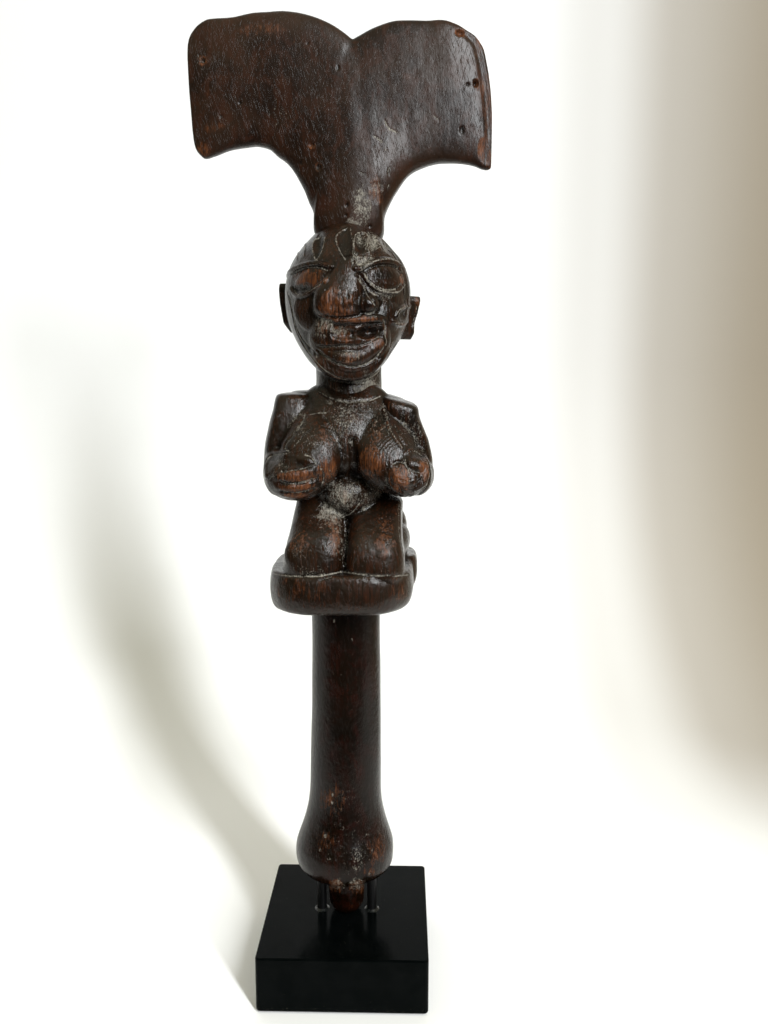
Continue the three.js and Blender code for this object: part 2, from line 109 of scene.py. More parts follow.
# %% [markdown]
# ## The carver's tools
# Every form of the carving starts as a ball primitive whose rings are laid along a line, such as an
# arm, or stacked in level bands, such as the trunk. Overlapping forms are joined and remeshed, which
# melts them into one skin of even squares, as wet clay would. A little smoothing then eases the
# seams, and the knife cuts are moved into that skin afterwards.

# %% Basic handling of meshes
def deselect():
    if bpy.context.object and bpy.context.object.mode != "OBJECT":
        bpy.ops.object.mode_set(mode="OBJECT")
    bpy.ops.object.select_all(action="DESELECT")


def activate(piece):
    deselect()
    piece.select_set(True)
    bpy.context.view_layer.objects.active = piece


@contextmanager
def editing(piece):
    """Edit mode on one piece, with all of it selected."""
    activate(piece)
    bpy.ops.object.mode_set(mode="EDIT")
    bpy.ops.mesh.select_all(action="SELECT")
    yield
    bpy.ops.object.mode_set(mode="OBJECT")


def numbers_of(items, name, kind=np.float32, width=3):
    """One property of every item of a mesh, in rows."""
    flat = np.empty(len(items) * width, kind)
    items.foreach_get(name, flat)
    return flat.reshape(-1, width)


def places_of(piece):
    """The vertices of a piece, in mm."""
    return numbers_of(piece.data.vertices, "co").astype(float) / MM


def lay(piece, places):
    """Puts the vertices of a piece at places in mm."""
    piece.data.vertices.foreach_set("co", (np.asarray(places) * MM).astype(np.float32).ravel())
    piece.data.update()
    return piece


def normals_of(piece):
    return numbers_of(piece.data.vertex_normals, "vector").astype(float)


def neighbour_means(piece):
    """A function that turns rows of values, one for each vertex, into the means over its neighbours."""
    a, b = numbers_of(piece.data.edges, "vertices", np.int64, 2).T
    count = len(piece.data.vertices)
    degree = np.bincount(a, minlength=count) + np.bincount(b, minlength=count)
    return lambda rows: np.stack([np.bincount(a, column[b], count) + np.bincount(b, column[a], count)
                                  for column in rows.T], 1) / degree[:, None]


def apply_modifier(piece, kind, **settings):
    activate(piece)
    modifier = piece.modifiers.new(kind.lower(), kind)
    for key, value in settings.items():
        setattr(modifier, key, value)
    bpy.ops.object.modifier_apply(modifier=modifier.name)


EASE_OUT, EASE_BACK = 0.5, -0.53


def ease(piece, rounds):
    """Evens out the skin without shrinking it: each round moves every point towards the middle of its
    neighbours and then almost as far back."""
    mean_of, places = neighbour_means(piece), places_of(piece)
    for _ in range(rounds):
        for strength in (EASE_OUT, EASE_BACK):
            places += strength * (mean_of(places) - places)
    return lay(piece, places)


def triangles(piece):
    return sum(len(p.vertices) - 2 for p in piece.data.polygons)


# %% Smooth curves through rows of numbers
def smooth_rows(rows, steps=12):
    """More rows, on smooth curves through the given ones."""
    rows = np.asarray(rows, float)
    ends = np.vstack([2 * rows[0] - rows[1], rows, 2 * rows[-1] - rows[-2]])
    share = np.linspace(0, 1, steps, endpoint=False)[:, None]
    made = []
    for a, b, c, d in zip(ends, ends[1:], ends[2:], ends[3:]):
        made.append(0.5 * (2 * b + (c - a) * share + (2 * a - 5 * b + 4 * c - d) * share ** 2
                           + (3 * b - a - 3 * c + d) * share ** 3))
    return np.vstack([*made, rows[-1:]])


def read_rows(rows, at):
    """All columns after the first, read between the rows at values of the first column."""
    return np.stack([np.interp(at, rows[:, 0], column) for column in rows[:, 1:].T], 1)


# %% Balls, limbs and bands
def new_ball(sides, rings):
    deselect()
    bpy.ops.mesh.primitive_uv_sphere_add(segments=sides, ring_count=rings, radius=1)
    form = bpy.context.object
    unit = places_of(form) * MM
    along = 1 - np.arccos(np.clip(unit[:, 2], -1, 1)) / math.pi
    return form, unit, along, np.arctan2(unit[:, 1], unit[:, 0])


def squared(value, squareness):
    return np.sign(value) * np.abs(value) ** squareness


def ball(place, half_axes, turn=(0, 0, 0), squareness=1.0):
    """An egg shape: place and half axes in mm, turned by degrees about X, Y and Z."""
    form, unit, _, _ = new_ball(sides=48, rings=32)
    turned = np.array(Euler([math.radians(t) for t in turn]).to_matrix())
    shape = squared(unit, squareness) if squareness != 1 else unit
    return lay(form, (shape * np.array(half_axes)) @ turned.T + np.array(place))


def limb(stations, squareness=1.0):
    """A limb with round ends through stations of x, y, z, half width and half depth in mm."""
    line = smooth_rows(stations)
    steps = np.linalg.norm(np.diff(line[:, :3], axis=0), axis=1)
    run = np.r_[0, np.cumsum(steps)]
    tangent = np.gradient(line[:, :3], axis=0)
    tangent /= np.linalg.norm(tangent, axis=1)[:, None]
    side = np.array([1.0, 0, 0]) if abs(tangent[0, 0]) < 0.7 else np.array([0, 0, 1.0])
    sides_on = []
    for direction in tangent:
        side = side - direction * (side @ direction)
        side = side / np.linalg.norm(side)
        sides_on.append(side)
    columns = np.c_[run, line, tangent, np.array(sides_on)]
    form, _, along, angle = new_ball(sides=36, rings=72)
    first, last = min(line[0, 3:5]), min(line[-1, 3:5])
    at = -first + along * (run[-1] + first + last)
    inside = np.clip(at, 0, run[-1])
    read = read_rows(columns, inside)
    centre, wide, deep, direction, across = read[:, :3], read[:, 3], read[:, 4], read[:, 5:8], read[:, 8:]
    over = np.where(at < 0, -at / first, np.where(at > run[-1], (at - run[-1]) / last, 0))
    scale = np.sqrt(np.clip(1 - over ** 2, 0, 1))
    front = np.cross(direction, across)
    return lay(form, centre + direction * (at - inside)[:, None]
               + across * (scale * wide * squared(np.cos(angle), squareness))[:, None]
               + front * (scale * deep * squared(np.sin(angle), squareness))[:, None])


def bands(rows, squareness=1.0, low_round=1.0, high_round=1.0, sides=96, rings=80):
    """A form of level bands: rows of height, half width, front, back and middle, in mm. The two rounds
    say over how many mm the form closes at its ends."""
    line = smooth_rows(rows)
    form, _, along, angle = new_ball(sides, rings)
    low, high = line[0, 0], line[-1, 0]
    height = low + (high - low) * (1 - np.cos(along * math.pi)) / 2
    wide, front, back, middle = read_rows(line, height).T
    ease = np.minimum(1, np.minimum((height - low) / low_round, (high - height) / high_round))
    scale = np.sqrt(np.clip(1 - (1 - ease) ** 2, 0, 1))
    return lay(form, np.stack([
        middle + scale * wide * squared(np.cos(angle), squareness),
        (front + back) / 2 + scale * (back - front) / 2 * squared(np.sin(angle), squareness),
        height], 1))


# %% Touch pieces along a line of sight, and lay clay on them
def from_camera(across, down):
    return EYE, sight_ray(across, down)


FAR_OUTSIDE = 200


def from_around(azimuth, height):
    """From outside towards the upright axis: azimuth 0 is the front and 90 the right of the picture."""
    turn = math.radians(azimuth)
    out = np.array([math.sin(turn), -math.cos(turn), 0]) * FAR_OUTSIDE
    return out + np.array([0, 0, height]), -out


def touch(pieces, start, direction):
    """The first place on any of the pieces along a line, in mm, with its normal. A line that misses
    them gives the nearest place beside it."""
    start, toward = Vector(start) * MM, Vector(direction).normalized()
    hits = [piece.ray_cast(start, toward)[:3] for piece in pieces]
    if not any(found for found, _, _ in hits):
        beside = start + toward * (-start).dot(toward)
        beside = start + toward * ((Vector((0, 0, beside.z)) - start).dot(toward))
        hits = [piece.closest_point_on_mesh(beside)[:3] for piece in pieces]
        start = beside
    _, place, normal = min((hit for hit in hits if hit[0]), key=lambda hit: (hit[1] - start).length)
    return np.array(place) / MM, np.array(normal) * (-1 if normal.dot(toward) > 0 else 1)


def clay(pieces, points, sizes, lift, squareness=1.0):
    """A limb laid on pieces through seen points, with a half width, in mm, at each of them, or with a
    half width and a half depth. It is lifted off the pieces, or sunk into them, by mm."""
    bpy.context.view_layer.update()
    stations = []
    for (across, down), size in zip(points, sizes):
        place, normal = touch(pieces, *from_camera(across, down))
        stations.append((*(place + normal * lift), *(size if isinstance(size, tuple) else (size, size))))
    return limb(stations, squareness)


def melt(name, forms, square, easing):
    """Joins overlapping forms into one skin of even squares of a size in mm, and eases it."""
    activate(forms[0])
    for form in forms:
        form.select_set(True)
    if len(forms) > 1:
        bpy.ops.object.join()
    piece = bpy.context.object
    piece.name = name
    piece.data.name = name
    piece.data.materials.clear()
    with editing(piece):
        bpy.ops.mesh.normals_make_consistent(inside=False)
    apply_modifier(piece, "REMESH", mode="VOXEL", voxel_size=square * 1 * MM)
    ease(piece, easing)
    print(name, "melted to", len(piece.data.vertices), "points")
    return piece


# %% Even noise for hand-made surfaces
LUMP_CELLS = 24


def lumps(places, size, seed):
    """Smooth noise from -1 to 1 with lumps of a size in mm. It repeats after LUMP_CELLS lumps."""
    values = np.random.default_rng(seed).uniform(-1, 1, [LUMP_CELLS] * 3)
    at = places / np.asarray(size, float)
    base = np.floor(at).astype(int)
    share = at - base
    share = share * share * (3 - 2 * share)
    total = 0
    for corner in np.ndindex(2, 2, 2):
        index = (base + corner) % LUMP_CELLS
        weight = np.prod(np.where(np.array(corner), share, 1 - share), axis=1)
        total = total + weight * values[index[:, 0], index[:, 1], index[:, 2]]
    return total


# %% [markdown]
# ## The grip, pommel and peg
# The lower part is turned in one go: a tapered peg, a bulbous pommel and the shaft that a hand closes
# round. A profile is spun about the upright axis, and the lathe-like skin is then made uneven, as a
# knife leaves it.

# %% Spin the profile
wand_low, wand_high = (np.array(corner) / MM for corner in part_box("wand"))
PEG_TIP = wand_low[2]
POMMEL_UNDERSIDE = PEG_TIP + 20.4
GRIP_ROWS = [
    (PEG_TIP, 2.5), (PEG_TIP + 0.5, 5.2), (PEG_TIP + 2, 6.9), (PEG_TIP + 5, 7.9), (PEG_TIP + 11, 8.4),
    (PEG_TIP + 20.2, 8.7), (PEG_TIP + 20.6, 14), (48.6, 18), (50.8, 21), (53.3, 22.5), (57, 23), (61, 22.8),
    (64, 22.1), (68, 20.8), (72, 19.5), (76, 18.4), (80, 17.5), (84, 16.9), (90, 16.5), (100, 16.35),
    (115, 16.1), (130, 15.85), (145, 15.8), (160, 15.55), (175, 15.55), (186, 15.55)]
line = smooth_rows(GRIP_ROWS, 8)
deselect()
bpy.ops.mesh.primitive_circle_add(vertices=len(line) + 2)
grip = bpy.context.object
profile = np.array([(0, 0, line[0, 0]), *[(r, 0, z) for z, r in line], (0, 0, line[-1, 0])])
lay(grip, profile)
with editing(grip):
    bpy.ops.mesh.spin(steps=96, angle=2 * math.pi, center=(0, 0, 0), axis=(0, 0, 1))
    bpy.ops.mesh.remove_doubles(threshold=0.02 * MM)
    bpy.ops.mesh.normals_make_consistent(inside=False)
grip = melt("wand_grip", [grip], 0.6, 2)
GRIP_LEAN = [(26, 0), (47, -0.5), (57, -0.8), (75, -0.5), (92, -0.25), (115, 0.05), (150, 0.35), (186, 0.15)]
leaning = places_of(grip)
leaning[:, 0] += read_rows(np.array(GRIP_LEAN, float), leaning[:, 2])[:, 0]
lay(grip, leaning)

# %% [markdown]
# ## The knife and the brush
# The fine carving is cut into the melted skin. A line is drawn through seen points, the skin near it
# is moved in or out along its own normal, and pale dust or bare wood can be left in the cut. Marks for
# wear, for dust and a few painted highlights, and for hollows darkened as painted shade are amounts from
# 0 to 1 that the wood's finish reads later.

# %% A skin to cut and to paint
# The mark for hollows darkens the wood there as painted shade and lets dust gather; the dust mark is pale dust,
# and in a few spots a painted highlight.
MARKS = ("worn", "dust_and_sheen", "shaded_hollow", "edge")
LINE_SPACING = 0.3
RUN_OUT = 1.5
HOLLOW_DEPTHS = {4: 0.1, 30: 0.55}


class Skin:
    """The skin of a melted piece. A drawn line has a place every LINE_SPACING mm and runs out over about
    RUN_OUT mm. HOLLOW_DEPTHS says, after how many rounds of smoothing, how many mm are a full hollow,
    which the finish darkens as painted shade."""

    def __init__(self, piece):
        self.piece = piece
        self.base, self.normals = places_of(piece), normals_of(piece)
        self.places = self.base.copy()
        self.marks = {name: np.zeros(len(self.base)) for name in MARKS}
        self.across, self.down = picture_points(self.base)
        self.facing = ((EYE - self.base) * self.normals).sum(1) > 0
        bpy.context.view_layer.update()

    def draw(self, points, look):
        """Places and normals on the skin, evenly spaced under a smooth line through seen points."""
        rows = smooth_rows([(i, *point) for i, point in enumerate(points)], 6)[:, 1:]
        hits = np.array([np.concatenate(touch([self.piece], *look(a, b))) for a, b in rows])
        run = np.r_[0, np.cumsum(np.linalg.norm(np.diff(hits[:, :3], axis=0), axis=1))]
        at = np.arange(0, max(run[-1], LINE_SPACING), LINE_SPACING)
        return np.stack([np.interp(at, run, column) for column in hits.T], 1)

    def near(self, line, reach):
        """Points of the skin near a line, how far off they are and how far along, both from 0 to 1."""
        low, high = line[:, :3].min(0) - reach, line[:, :3].max(0) + reach
        picked = np.flatnonzero(((self.base > low) & (self.base < high)).all(1))
        tree = KDTree(len(line))
        for i, place in enumerate(line):
            tree.insert(place[:3], i)
        tree.balance()
        found = np.array([tree.find(place)[1:] for place in self.base[picked]]).reshape(-1, 2)
        index, off = found[:, 0].astype(int), found[:, 1] / reach
        keep = (off < 1) & ((self.normals[picked] * line[index, 3:]).sum(1) > 0)
        return picked[keep], off[keep], index[keep] * (1 / max(1, len(line) - 1))

    def mark(self, name, picked, amount):
        self.marks[name][picked] = np.maximum(self.marks[name][picked], amount)

    def cut(self, points, width, depth, dust_and_sheen=0.0, worn=0.0, look=from_camera):
        """A groove of a width and depth in mm. A negative depth leaves a ridge. It runs out at both ends.
        Dust lies in its bottom, and wear spreads past its rims."""
        line = self.draw(points, look)

        def full(share, least):
            return np.minimum(1, np.minimum(share, 1 - share) * len(line) * LINE_SPACING / RUN_OUT + least)

        picked, off, share = self.near(line, width / 2)
        self.places[picked] -= self.normals[picked] * (depth * (1 - off ** 2) ** 2 * full(share, 0.1))[:, None]
        for name, amount, spread in (("dust_and_sheen", dust_and_sheen, 0.1), ("worn", worn, 0.55)):
            if amount:
                reached, gap, share = self.near(line, 0.35 + spread * width)
                self.mark(name, reached, amount * (1 - gap ** 2) * full(share, 0.3))

    def spot(self, across, down, wide, high, turn=0.0):
        """How strongly points in front lie in an oval of the picture: 1 at its middle, 0 at its rim."""
        turned = math.radians(turn)
        x, y = self.across - across, self.down - down
        along = (x * math.cos(turned) + y * math.sin(turned)) / wide
        over = (y * math.cos(turned) - x * math.sin(turned)) / high
        return np.where(self.facing, np.clip(1 - along ** 2 - over ** 2, 0, 1), 0)

    def paint(self, name, amount, *spots):
        for spot in spots:
            self.mark(name, slice(None), amount * np.sqrt(self.spot(*spot)))

    def push(self, amounts):
        """Moves the skin inwards by amounts in mm."""
        self.places -= self.normals * amounts[:, None]

    def dent(self, across, down, wide, high, depth, turn=0.0, dust_and_sheen=0.0):
        self.push(depth * self.spot(across, down, wide, high, turn))
        self.paint("dust_and_sheen", dust_and_sheen, (across, down, wide, high, turn))

    def uneven(self, *layers):
        """Lumps over the whole skin: sizes along X, Y and Z, the height in mm, and a seed."""
        for size, height, seed in layers:
            self.push(height * lumps(self.base, size, seed))

    def finish(self):
        """Lays the skin, finds its hollows and edges, and stores the marks."""
        self.places = np.clip(self.places, wand_low + 0.05, wand_high - 0.05)
        piece = lay(self.piece, self.places)
        mean_of, normals, smooth = neighbour_means(piece), normals_of(piece), self.places
        # Hollows are marked for painted shade and for dust, edges for wear.
        for round_number in range(1, max(HOLLOW_DEPTHS) + 1):
            smooth = mean_of(smooth)
            if round_number in HOLLOW_DEPTHS:
                off = ((smooth - self.places) * normals).sum(1) / HOLLOW_DEPTHS[round_number]
                self.mark("shaded_hollow", slice(None), np.clip(off, 0, 1))
                self.mark("edge", slice(None), np.clip(-off, 0, 1))
        for name, values in self.marks.items():
            layer = piece.data.attributes.new(name, "FLOAT", "POINT")
            layer.data.foreach_set("value", np.clip(values, 0, 1).astype(np.float32))
        activate(piece)
        bpy.ops.object.shade_smooth()
        print(piece.name, "has", triangles(piece), "triangles")

# %% [markdown]
# ## The double axe blade
# The blade is two thin lobes that grow out of a thick neck on the crown of the head. It is stacked
# from chords: each runs from the lower edge to the upper edge, and they fan out from the left end to
# the right end. A chord also says how full the wood is at its two ends, on a scale that THICKNESS turns
# into mm. So the neck swells forward, it flows into the lobes without a step, and the outer ends thin
# out to an axe's edge. The blade is turned a little on its neck, with the left end nearer.

# %% Lay a ball along the chords
BLADE_PLANE, BLADE_SLOPE = -2.5, 0.02
BLADE_RIM, BLADE_END = 0.5, 0.02
THICKNESS = [(0, 2.4), (1, 6.5), (2, 10.4), (2.5, 12.9), (3, 16.2), (3.5, 20.8), (4, 26.4), (4.4, 31)]
CHORDS = [
    (192.2, 128, 187.3, 60, 0.1, 0.1), (195.6, 147.5, 188.6, 40, 0.5, 0.45),
    (201.5, 156, 195.5, 27.8, 0.9, 0.8), (206, 158.6, 205, 20.8, 1.15, 1.05),
    (214, 156.2, 214, 18.9, 1.4, 1.3), (230, 150.2, 232, 18.2, 1.7, 1.6),
    (246, 147.5, 251, 14.6, 1.95, 1.85),
    (259, 146.8, 269, 13.6, 2.15, 2.05), (270, 149.6, 283, 12.9, 2.3, 2.15),
    (278.5, 157, 296, 14, 2.45, 2.25),
    (286, 162.6, 306, 15.8, 2.6, 2.3), (292.5, 170, 316, 18.7, 2.78, 2.35),
    (298.7, 180, 325, 22.4, 3, 2.42),
    (304.8, 192, 333, 26.5, 3.22, 2.48), (309.6, 204, 340, 31, 3.42, 2.53),
    (314.4, 216, 346, 35.4, 3.62, 2.57),
    (318, 240, 350, 38.5, 3.85, 2.6), (350, 252, 353, 40.5, 4.2, 2.62), (380, 240, 356, 38.8, 3.85, 2.6),
    (384.6, 217, 361, 36, 3.62, 2.57), (390, 204, 368, 32, 3.42, 2.53), (397, 192, 376, 28.4, 3.22, 2.48),
    (405, 180.6, 386, 24.8, 3, 2.42), (413, 172.9, 397, 21.9, 2.78, 2.34),
    (424, 167.6, 411, 21.3, 2.56, 2.2), (438, 163.5, 427, 21.3, 2.3, 2), (452, 162.7, 443, 20.7, 2, 1.75),
    (464, 163.8, 456, 24.6, 1.7, 1.45), (474, 166, 467, 30.6, 1.4, 1.15), (482, 169, 475, 35.6, 1.05, 0.8),
    (488.6, 169.2, 481, 43, 0.6, 0.45), (492.4, 163, 485, 52, 0.3, 0.2), (495, 147, 489.2, 76, 0.1, 0.1)]
chord_rows = []
for low_across, low_down, high_across, high_down, *fullness in CHORDS:
    low_end = sight_place(low_across, low_down, BLADE_PLANE, BLADE_SLOPE)
    high_end = sight_place(high_across, high_down, BLADE_PLANE, BLADE_SLOPE)
    chord_rows.append((len(chord_rows), low_end[0], low_end[2], high_end[0], high_end[2], *fullness))
blade, _, along, angle = new_ball(sides=96, rings=300)
low_x, low_z, high_x, high_z, low_full, high_full = read_rows(
    smooth_rows(chord_rows), along * (len(CHORDS) - 1)).T
rise = (1 - np.cos(angle)) / 2
full = low_full + (high_full - low_full) * rise
thick = read_rows(smooth_rows(THICKNESS), full)[:, 0]
end_ease = np.minimum(1, np.minimum(along, 1 - along) / BLADE_END)
out = squared(np.sin(angle), BLADE_RIM) * thick / 2 * np.sqrt(1 - (1 - end_ease) ** 2)
across = low_x + (high_x - low_x) * rise
lay(blade, np.stack([across, BLADE_PLANE + BLADE_SLOPE * across + out, low_z + (high_z - low_z) * rise], 1))
blade = melt("wand_blade", [blade], 0.5, 3)

# %% [markdown]
# ## The figure: a rough carving first
# The kneeling woman and her platform are roughed out from nearly sixty overlapping forms, as a carver
# finds the big masses before any detail. The trunk and limbs are placed by shares of her own size. The
# legs lean a little and the body above them is turned a little, as the real carving is.

# %% Forms of the body, by shares of half the arm span, half the kneeling depth and the body height
HALF_ARM_SPAN, HALF_KNEEL, BODY_HEIGHT = 37.5, 34, 76
PLATFORM_TOP = 196.3
SHOULDER_TOP = PLATFORM_TOP + BODY_HEIGHT


def body_place(side, back, height):
    return side * HALF_ARM_SPAN, back * HALF_KNEEL, PLATFORM_TOP + height * BODY_HEIGHT


def body_limb(stations, squareness=0.85):
    return limb([(*body_place(*s[:3]), s[3] * HALF_ARM_SPAN, s[4] * HALF_ARM_SPAN) for s in stations],
                squareness)


def body_ball(place, half_axes):
    return ball(body_place(*place), [a * HALF_ARM_SPAN for a in half_axes])


def body_bands(rows, **rounds):
    return bands([(PLATFORM_TOP + r[0] * BODY_HEIGHT, r[1] * HALF_ARM_SPAN, r[2] * HALF_KNEEL,
                   r[3] * HALF_KNEEL, r[4] * HALF_ARM_SPAN) for r in rows], 0.62, **rounds)


# %% Trunk, neck and belly
TRUNK = [
    (0.02, 0.45, -0.1, 0.65, 0), (0.24, 0.55, -0.2, 0.68, 0), (0.35, 0.57, -0.27, 0.57, 0),
    (0.46, 0.53, -0.36, 0.46, 0), (0.56, 0.54, -0.42, 0.44, 0), (0.69, 0.62, -0.45, 0.47, 0),
    (0.82, 0.66, -0.43, 0.5, 0), (0.91, 0.68, -0.38, 0.48, 0), (0.955, 0.68, -0.34, 0.45, 0),
    (0.985, 0.66, -0.3, 0.41, 0), (1, 0.62, -0.24, 0.36, 0)]
trunk_forms = [
    body_bands(TRUNK, low_round=4, high_round=0.6),
    body_ball((0, -0.34, 0.66), (0.32, 0.27, 0.42)),
    body_limb([(0, -0.17, 0.95, 0.5, 0.22), (0, -0.32, 0.84, 0.46, 0.24), (0, -0.43, 0.74, 0.32, 0.25),
               (0, -0.46, 0.64, 0.24, 0.24)]),
    body_ball((0, -0.26, 0.42), (0.38, 0.33, 0.3))]


# %% A breast and an arm
UPPER_ARMS = {
    -1: [(236, 6.6, -12, 11.5, -30.2), (243, 7, -15, 12.5, -29.8), (250, 7.2, -16.5, 13, -28.6),
         (257, 7.6, -16, 13.5, -26.6), (264, 7.9, -14.6, 13.5, -24.4), (269, 7.9, -12.6, 12.5, -23.4),
         (271.4, 7.4, -10, 11, -22.6)],
    1: [(236, 6.6, -11.5, 11.5, 30.2), (243, 7, -14, 12.5, 29.7), (250, 7.2, -15.4, 13, 28.2),
        (257, 7.6, -16.4, 13.5, 25.6), (264, 7.9, -17.1, 13.5, 23), (268.6, 7.9, -16.4, 12.5, 22.4),
        (271.4, 7.4, -12.5, 11, 21.6)]}


def breast_and_arm(hand):
    """hand is -1 on the left of the picture and 1 on the right."""
    breast = body_limb([
        (hand * 0.25, -0.12, 0.92, 0.27, 0.2), (hand * 0.32, -0.36, 0.78, 0.34, 0.24),
        (hand * 0.41, -0.55, 0.65, 0.37, 0.27), (hand * 0.5, -0.6, 0.57, 0.33, 0.27)], 0.95)
    upper_arm = bands(UPPER_ARMS[hand], 0.5, low_round=4, high_round=1.2, sides=64)
    forearm = body_limb([
        (hand * 0.85, 0.16, 0.545, 0.145, 0.17), (hand * 0.83, -0.3, 0.525, 0.155, 0.19),
        (hand * 0.76, -0.6, 0.525, 0.17, 0.21)])
    return [breast, upper_arm, forearm]


# %% A folded leg: thigh and knee in front, calf, foot and buttock behind
def folded_leg(hand):
    """hand is as above. The calf at the right of the picture stands out a little further."""
    out = 0.05 if hand > 0 else 0
    column = body_bands([
        (-0.05, 0.355, -0.88, 0.05, hand * 0.34), (0.03, 0.36, -0.93, 0.08, hand * 0.34),
        (0.12, 0.348, -0.91, 0.1, hand * 0.333), (0.19, 0.327, -0.84, 0.1, hand * 0.322),
        (0.26, 0.312, -0.7, 0.1, hand * 0.318), (0.33, 0.3, -0.55, 0.1, hand * 0.318),
        (0.39, 0.288, -0.42, 0.1, hand * 0.318), (0.44, 0.24, -0.28, 0.1, hand * 0.318)],
        low_round=1, high_round=4)
    return [
        column,
        body_limb([(hand * 0.44, -0.3, 0.09, 0.2, 0.2), (hand * 0.48 + out, 0.2, 0.12, 0.21, 0.25),
                   (hand * 0.44 + out, 0.55, 0.075, 0.19, 0.17)]),
        body_limb([(hand * 0.4, 0.6, 0.06, 0.17, 0.13), (hand * 0.34, 0.84, 0.05, 0.18, 0.1)]),
        body_ball((hand * 0.31, 0.42, 0.2), (0.38, 0.4, 0.33))]


# %% The head, the neck and the ears, in mm
HEAD = [
    (277.3, 6.2, -23, -8, 0), (279.5, 10.8, -25.6, -1, 0), (284, 15.9, -27.2, 8, 0),
    (289, 19.5, -28.2, 15, 0),
    (294, 22.6, -28.8, 20, 0), (300, 25, -29, 24.5, 0), (306, 26.3, -28.8, 27, 0),
    (312, 26.8, -28.6, 28.3, 0),
    (317, 26.5, -28.4, 28.5, 0), (322, 25.3, -27.4, 27.6, 0), (326.7, 23.1, -25.4, 25.7, 0),
    (331, 19.8, -22.6, 23, -0.2), (336, 15.2, -18.6, 19, -0.3), (340, 11, -14.2, 14.6, -0.3),
    (342.3, 7, -9, 9.6, -0.3)]


EAR_ROOT = 17


def ear(hand, top, height, outer):
    """A flat flap from inside the head outwards: outer lists how far out it reaches, by share of its
    height. It is thinner at its rim, which is also further back than its root."""
    deselect()
    bpy.ops.mesh.primitive_cube_add(size=1)
    flap = bpy.context.object
    with editing(flap):
        bpy.ops.mesh.subdivide(number_cuts=24)
    unit = places_of(flap) * MM
    down, outward = 0.5 - unit[:, 2], unit[:, 0] + 0.5
    reach = np.interp(down, *np.array(outer).T)
    thick = np.interp(down, [0, 0.1, 0.8, 1], [8, 10, 9, 6]) * (1 - 0.55 * outward)
    x = EAR_ROOT + outward * (reach - EAR_ROOT)
    y = 5.5 + 3 * outward + unit[:, 1] * thick
    return lay(flap, np.stack([hand * x, y, top - down * height], 1))


head_forms = [
    bands(HEAD, 0.94, low_round=1.5, high_round=1.5, rings=120),
    bands([(SHOULDER_TOP - 12, 14.6, -14.6, 14.6, 0), (SHOULDER_TOP - 3, 14.5, -14.5, 14.5, 0),
           (SHOULDER_TOP + 5, 14.3, -14, 14, 0.3), (SHOULDER_TOP + 18, 14.6, -14.4, 14.4, 0.3)]),
    ear(-1, 318.4, 21, [(0, 29.6), (0.1, 30), (0.4, 29.6), (0.8, 28), (1, 25)]),
    ear(1, 313, 18.5, [(0, 31.8), (0.1, 32.1), (0.35, 31), (0.62, 29.4), (0.85, 29.4), (1, 28)])]


# %% The platform, and the whole rough figure
def move(forms, about, axis, degrees, shift):
    """Turns forms by degrees about an axis through a place, and shifts them sideways."""
    turn = np.array(Matrix.Rotation(math.radians(degrees), 3, axis))
    for form in forms:
        lay(form, (places_of(form) - about) @ turn.T + about + np.array([shift, 0, 0]))


PLATFORM = [
    (178.1, 26.4, -27.4, 26.8, -2.2), (179, 29, -30.5, 30.2, -1.9), (181.2, 30.8, -32.3, 32.3, -1.4),
    (185.7, 31.8, -33.5, 33.5, -1.1), (190, 31.8, -33.5, 33.5, -1), (193.7, 31.3, -33, 33, -0.9),
    (195.6, 30.4, -32, 32, -0.9), (196.3, 28.9, -30.5, 30.5, -0.9)]
torso_forms = [*trunk_forms, *breast_and_arm(-1), *breast_and_arm(1)]
leg_forms = [*folded_leg(-1), *folded_leg(1)]
move([*torso_forms, *head_forms], np.zeros(3), "Z", 4, 1.6)
move(leg_forms, np.array([0, 0, PLATFORM_TOP]), "Y", 4, 0.8)
SHOULDER_SLOPE = 0.26
for form in torso_forms:
    sloped = places_of(form)
    out_right, near_top = np.clip(sloped[:, 0] - 13, 0, None), np.clip((sloped[:, 2] - 252) / 20, 0, 1)
    sloped[:, 2] -= SHOULDER_SLOPE * out_right * near_top
    lay(form, sloped)
platform_form = bands(PLATFORM, 0.62, low_round=0.5, high_round=0.5, sides=128, rings=60)
far_corner = bands(
    [(low + 1.3, wide - 18, 4, back - 0.4, middle + 20.1) for low, wide, _, back, middle in PLATFORM],
    0.5, low_round=0.5, high_round=0.5)
print(len(torso_forms) + len(leg_forms) + 2, "forms of the body and the platform")

# %% [markdown]
# ## Features of the face and the hands
# The carver marks the features on the rough head and leaves wood standing for them. Here balls and
# strips of clay are pressed on at their places in the picture: the large eyes with thin rims, the broad
# nose with its worn tip, the muzzle with two lips, and the low ridge of the chin. A hand grips each
# breast end: a thumb above, and the fingers across.

# %% Press clay on a spot that the camera sees
def seen_ball(pieces, across, down, half_axes, sunk, turn=0.0):
    """An egg pressed into pieces: half axes in mm along the surface sideways, out of it, and upwards."""
    bpy.context.view_layer.update()
    place, normal = touch(pieces, *from_camera(across, down))
    azimuth = math.degrees(math.atan2(normal[0], -normal[1]))
    lean = math.degrees(math.asin(np.clip(normal[2], -1, 1)))
    form = ball((0, 0, 0), half_axes, (0, turn, 0))
    tilt = Euler((math.radians(-lean), 0, math.radians(azimuth))).to_matrix()
    return lay(form, places_of(form) @ np.array(tilt).T + place - normal * sunk)


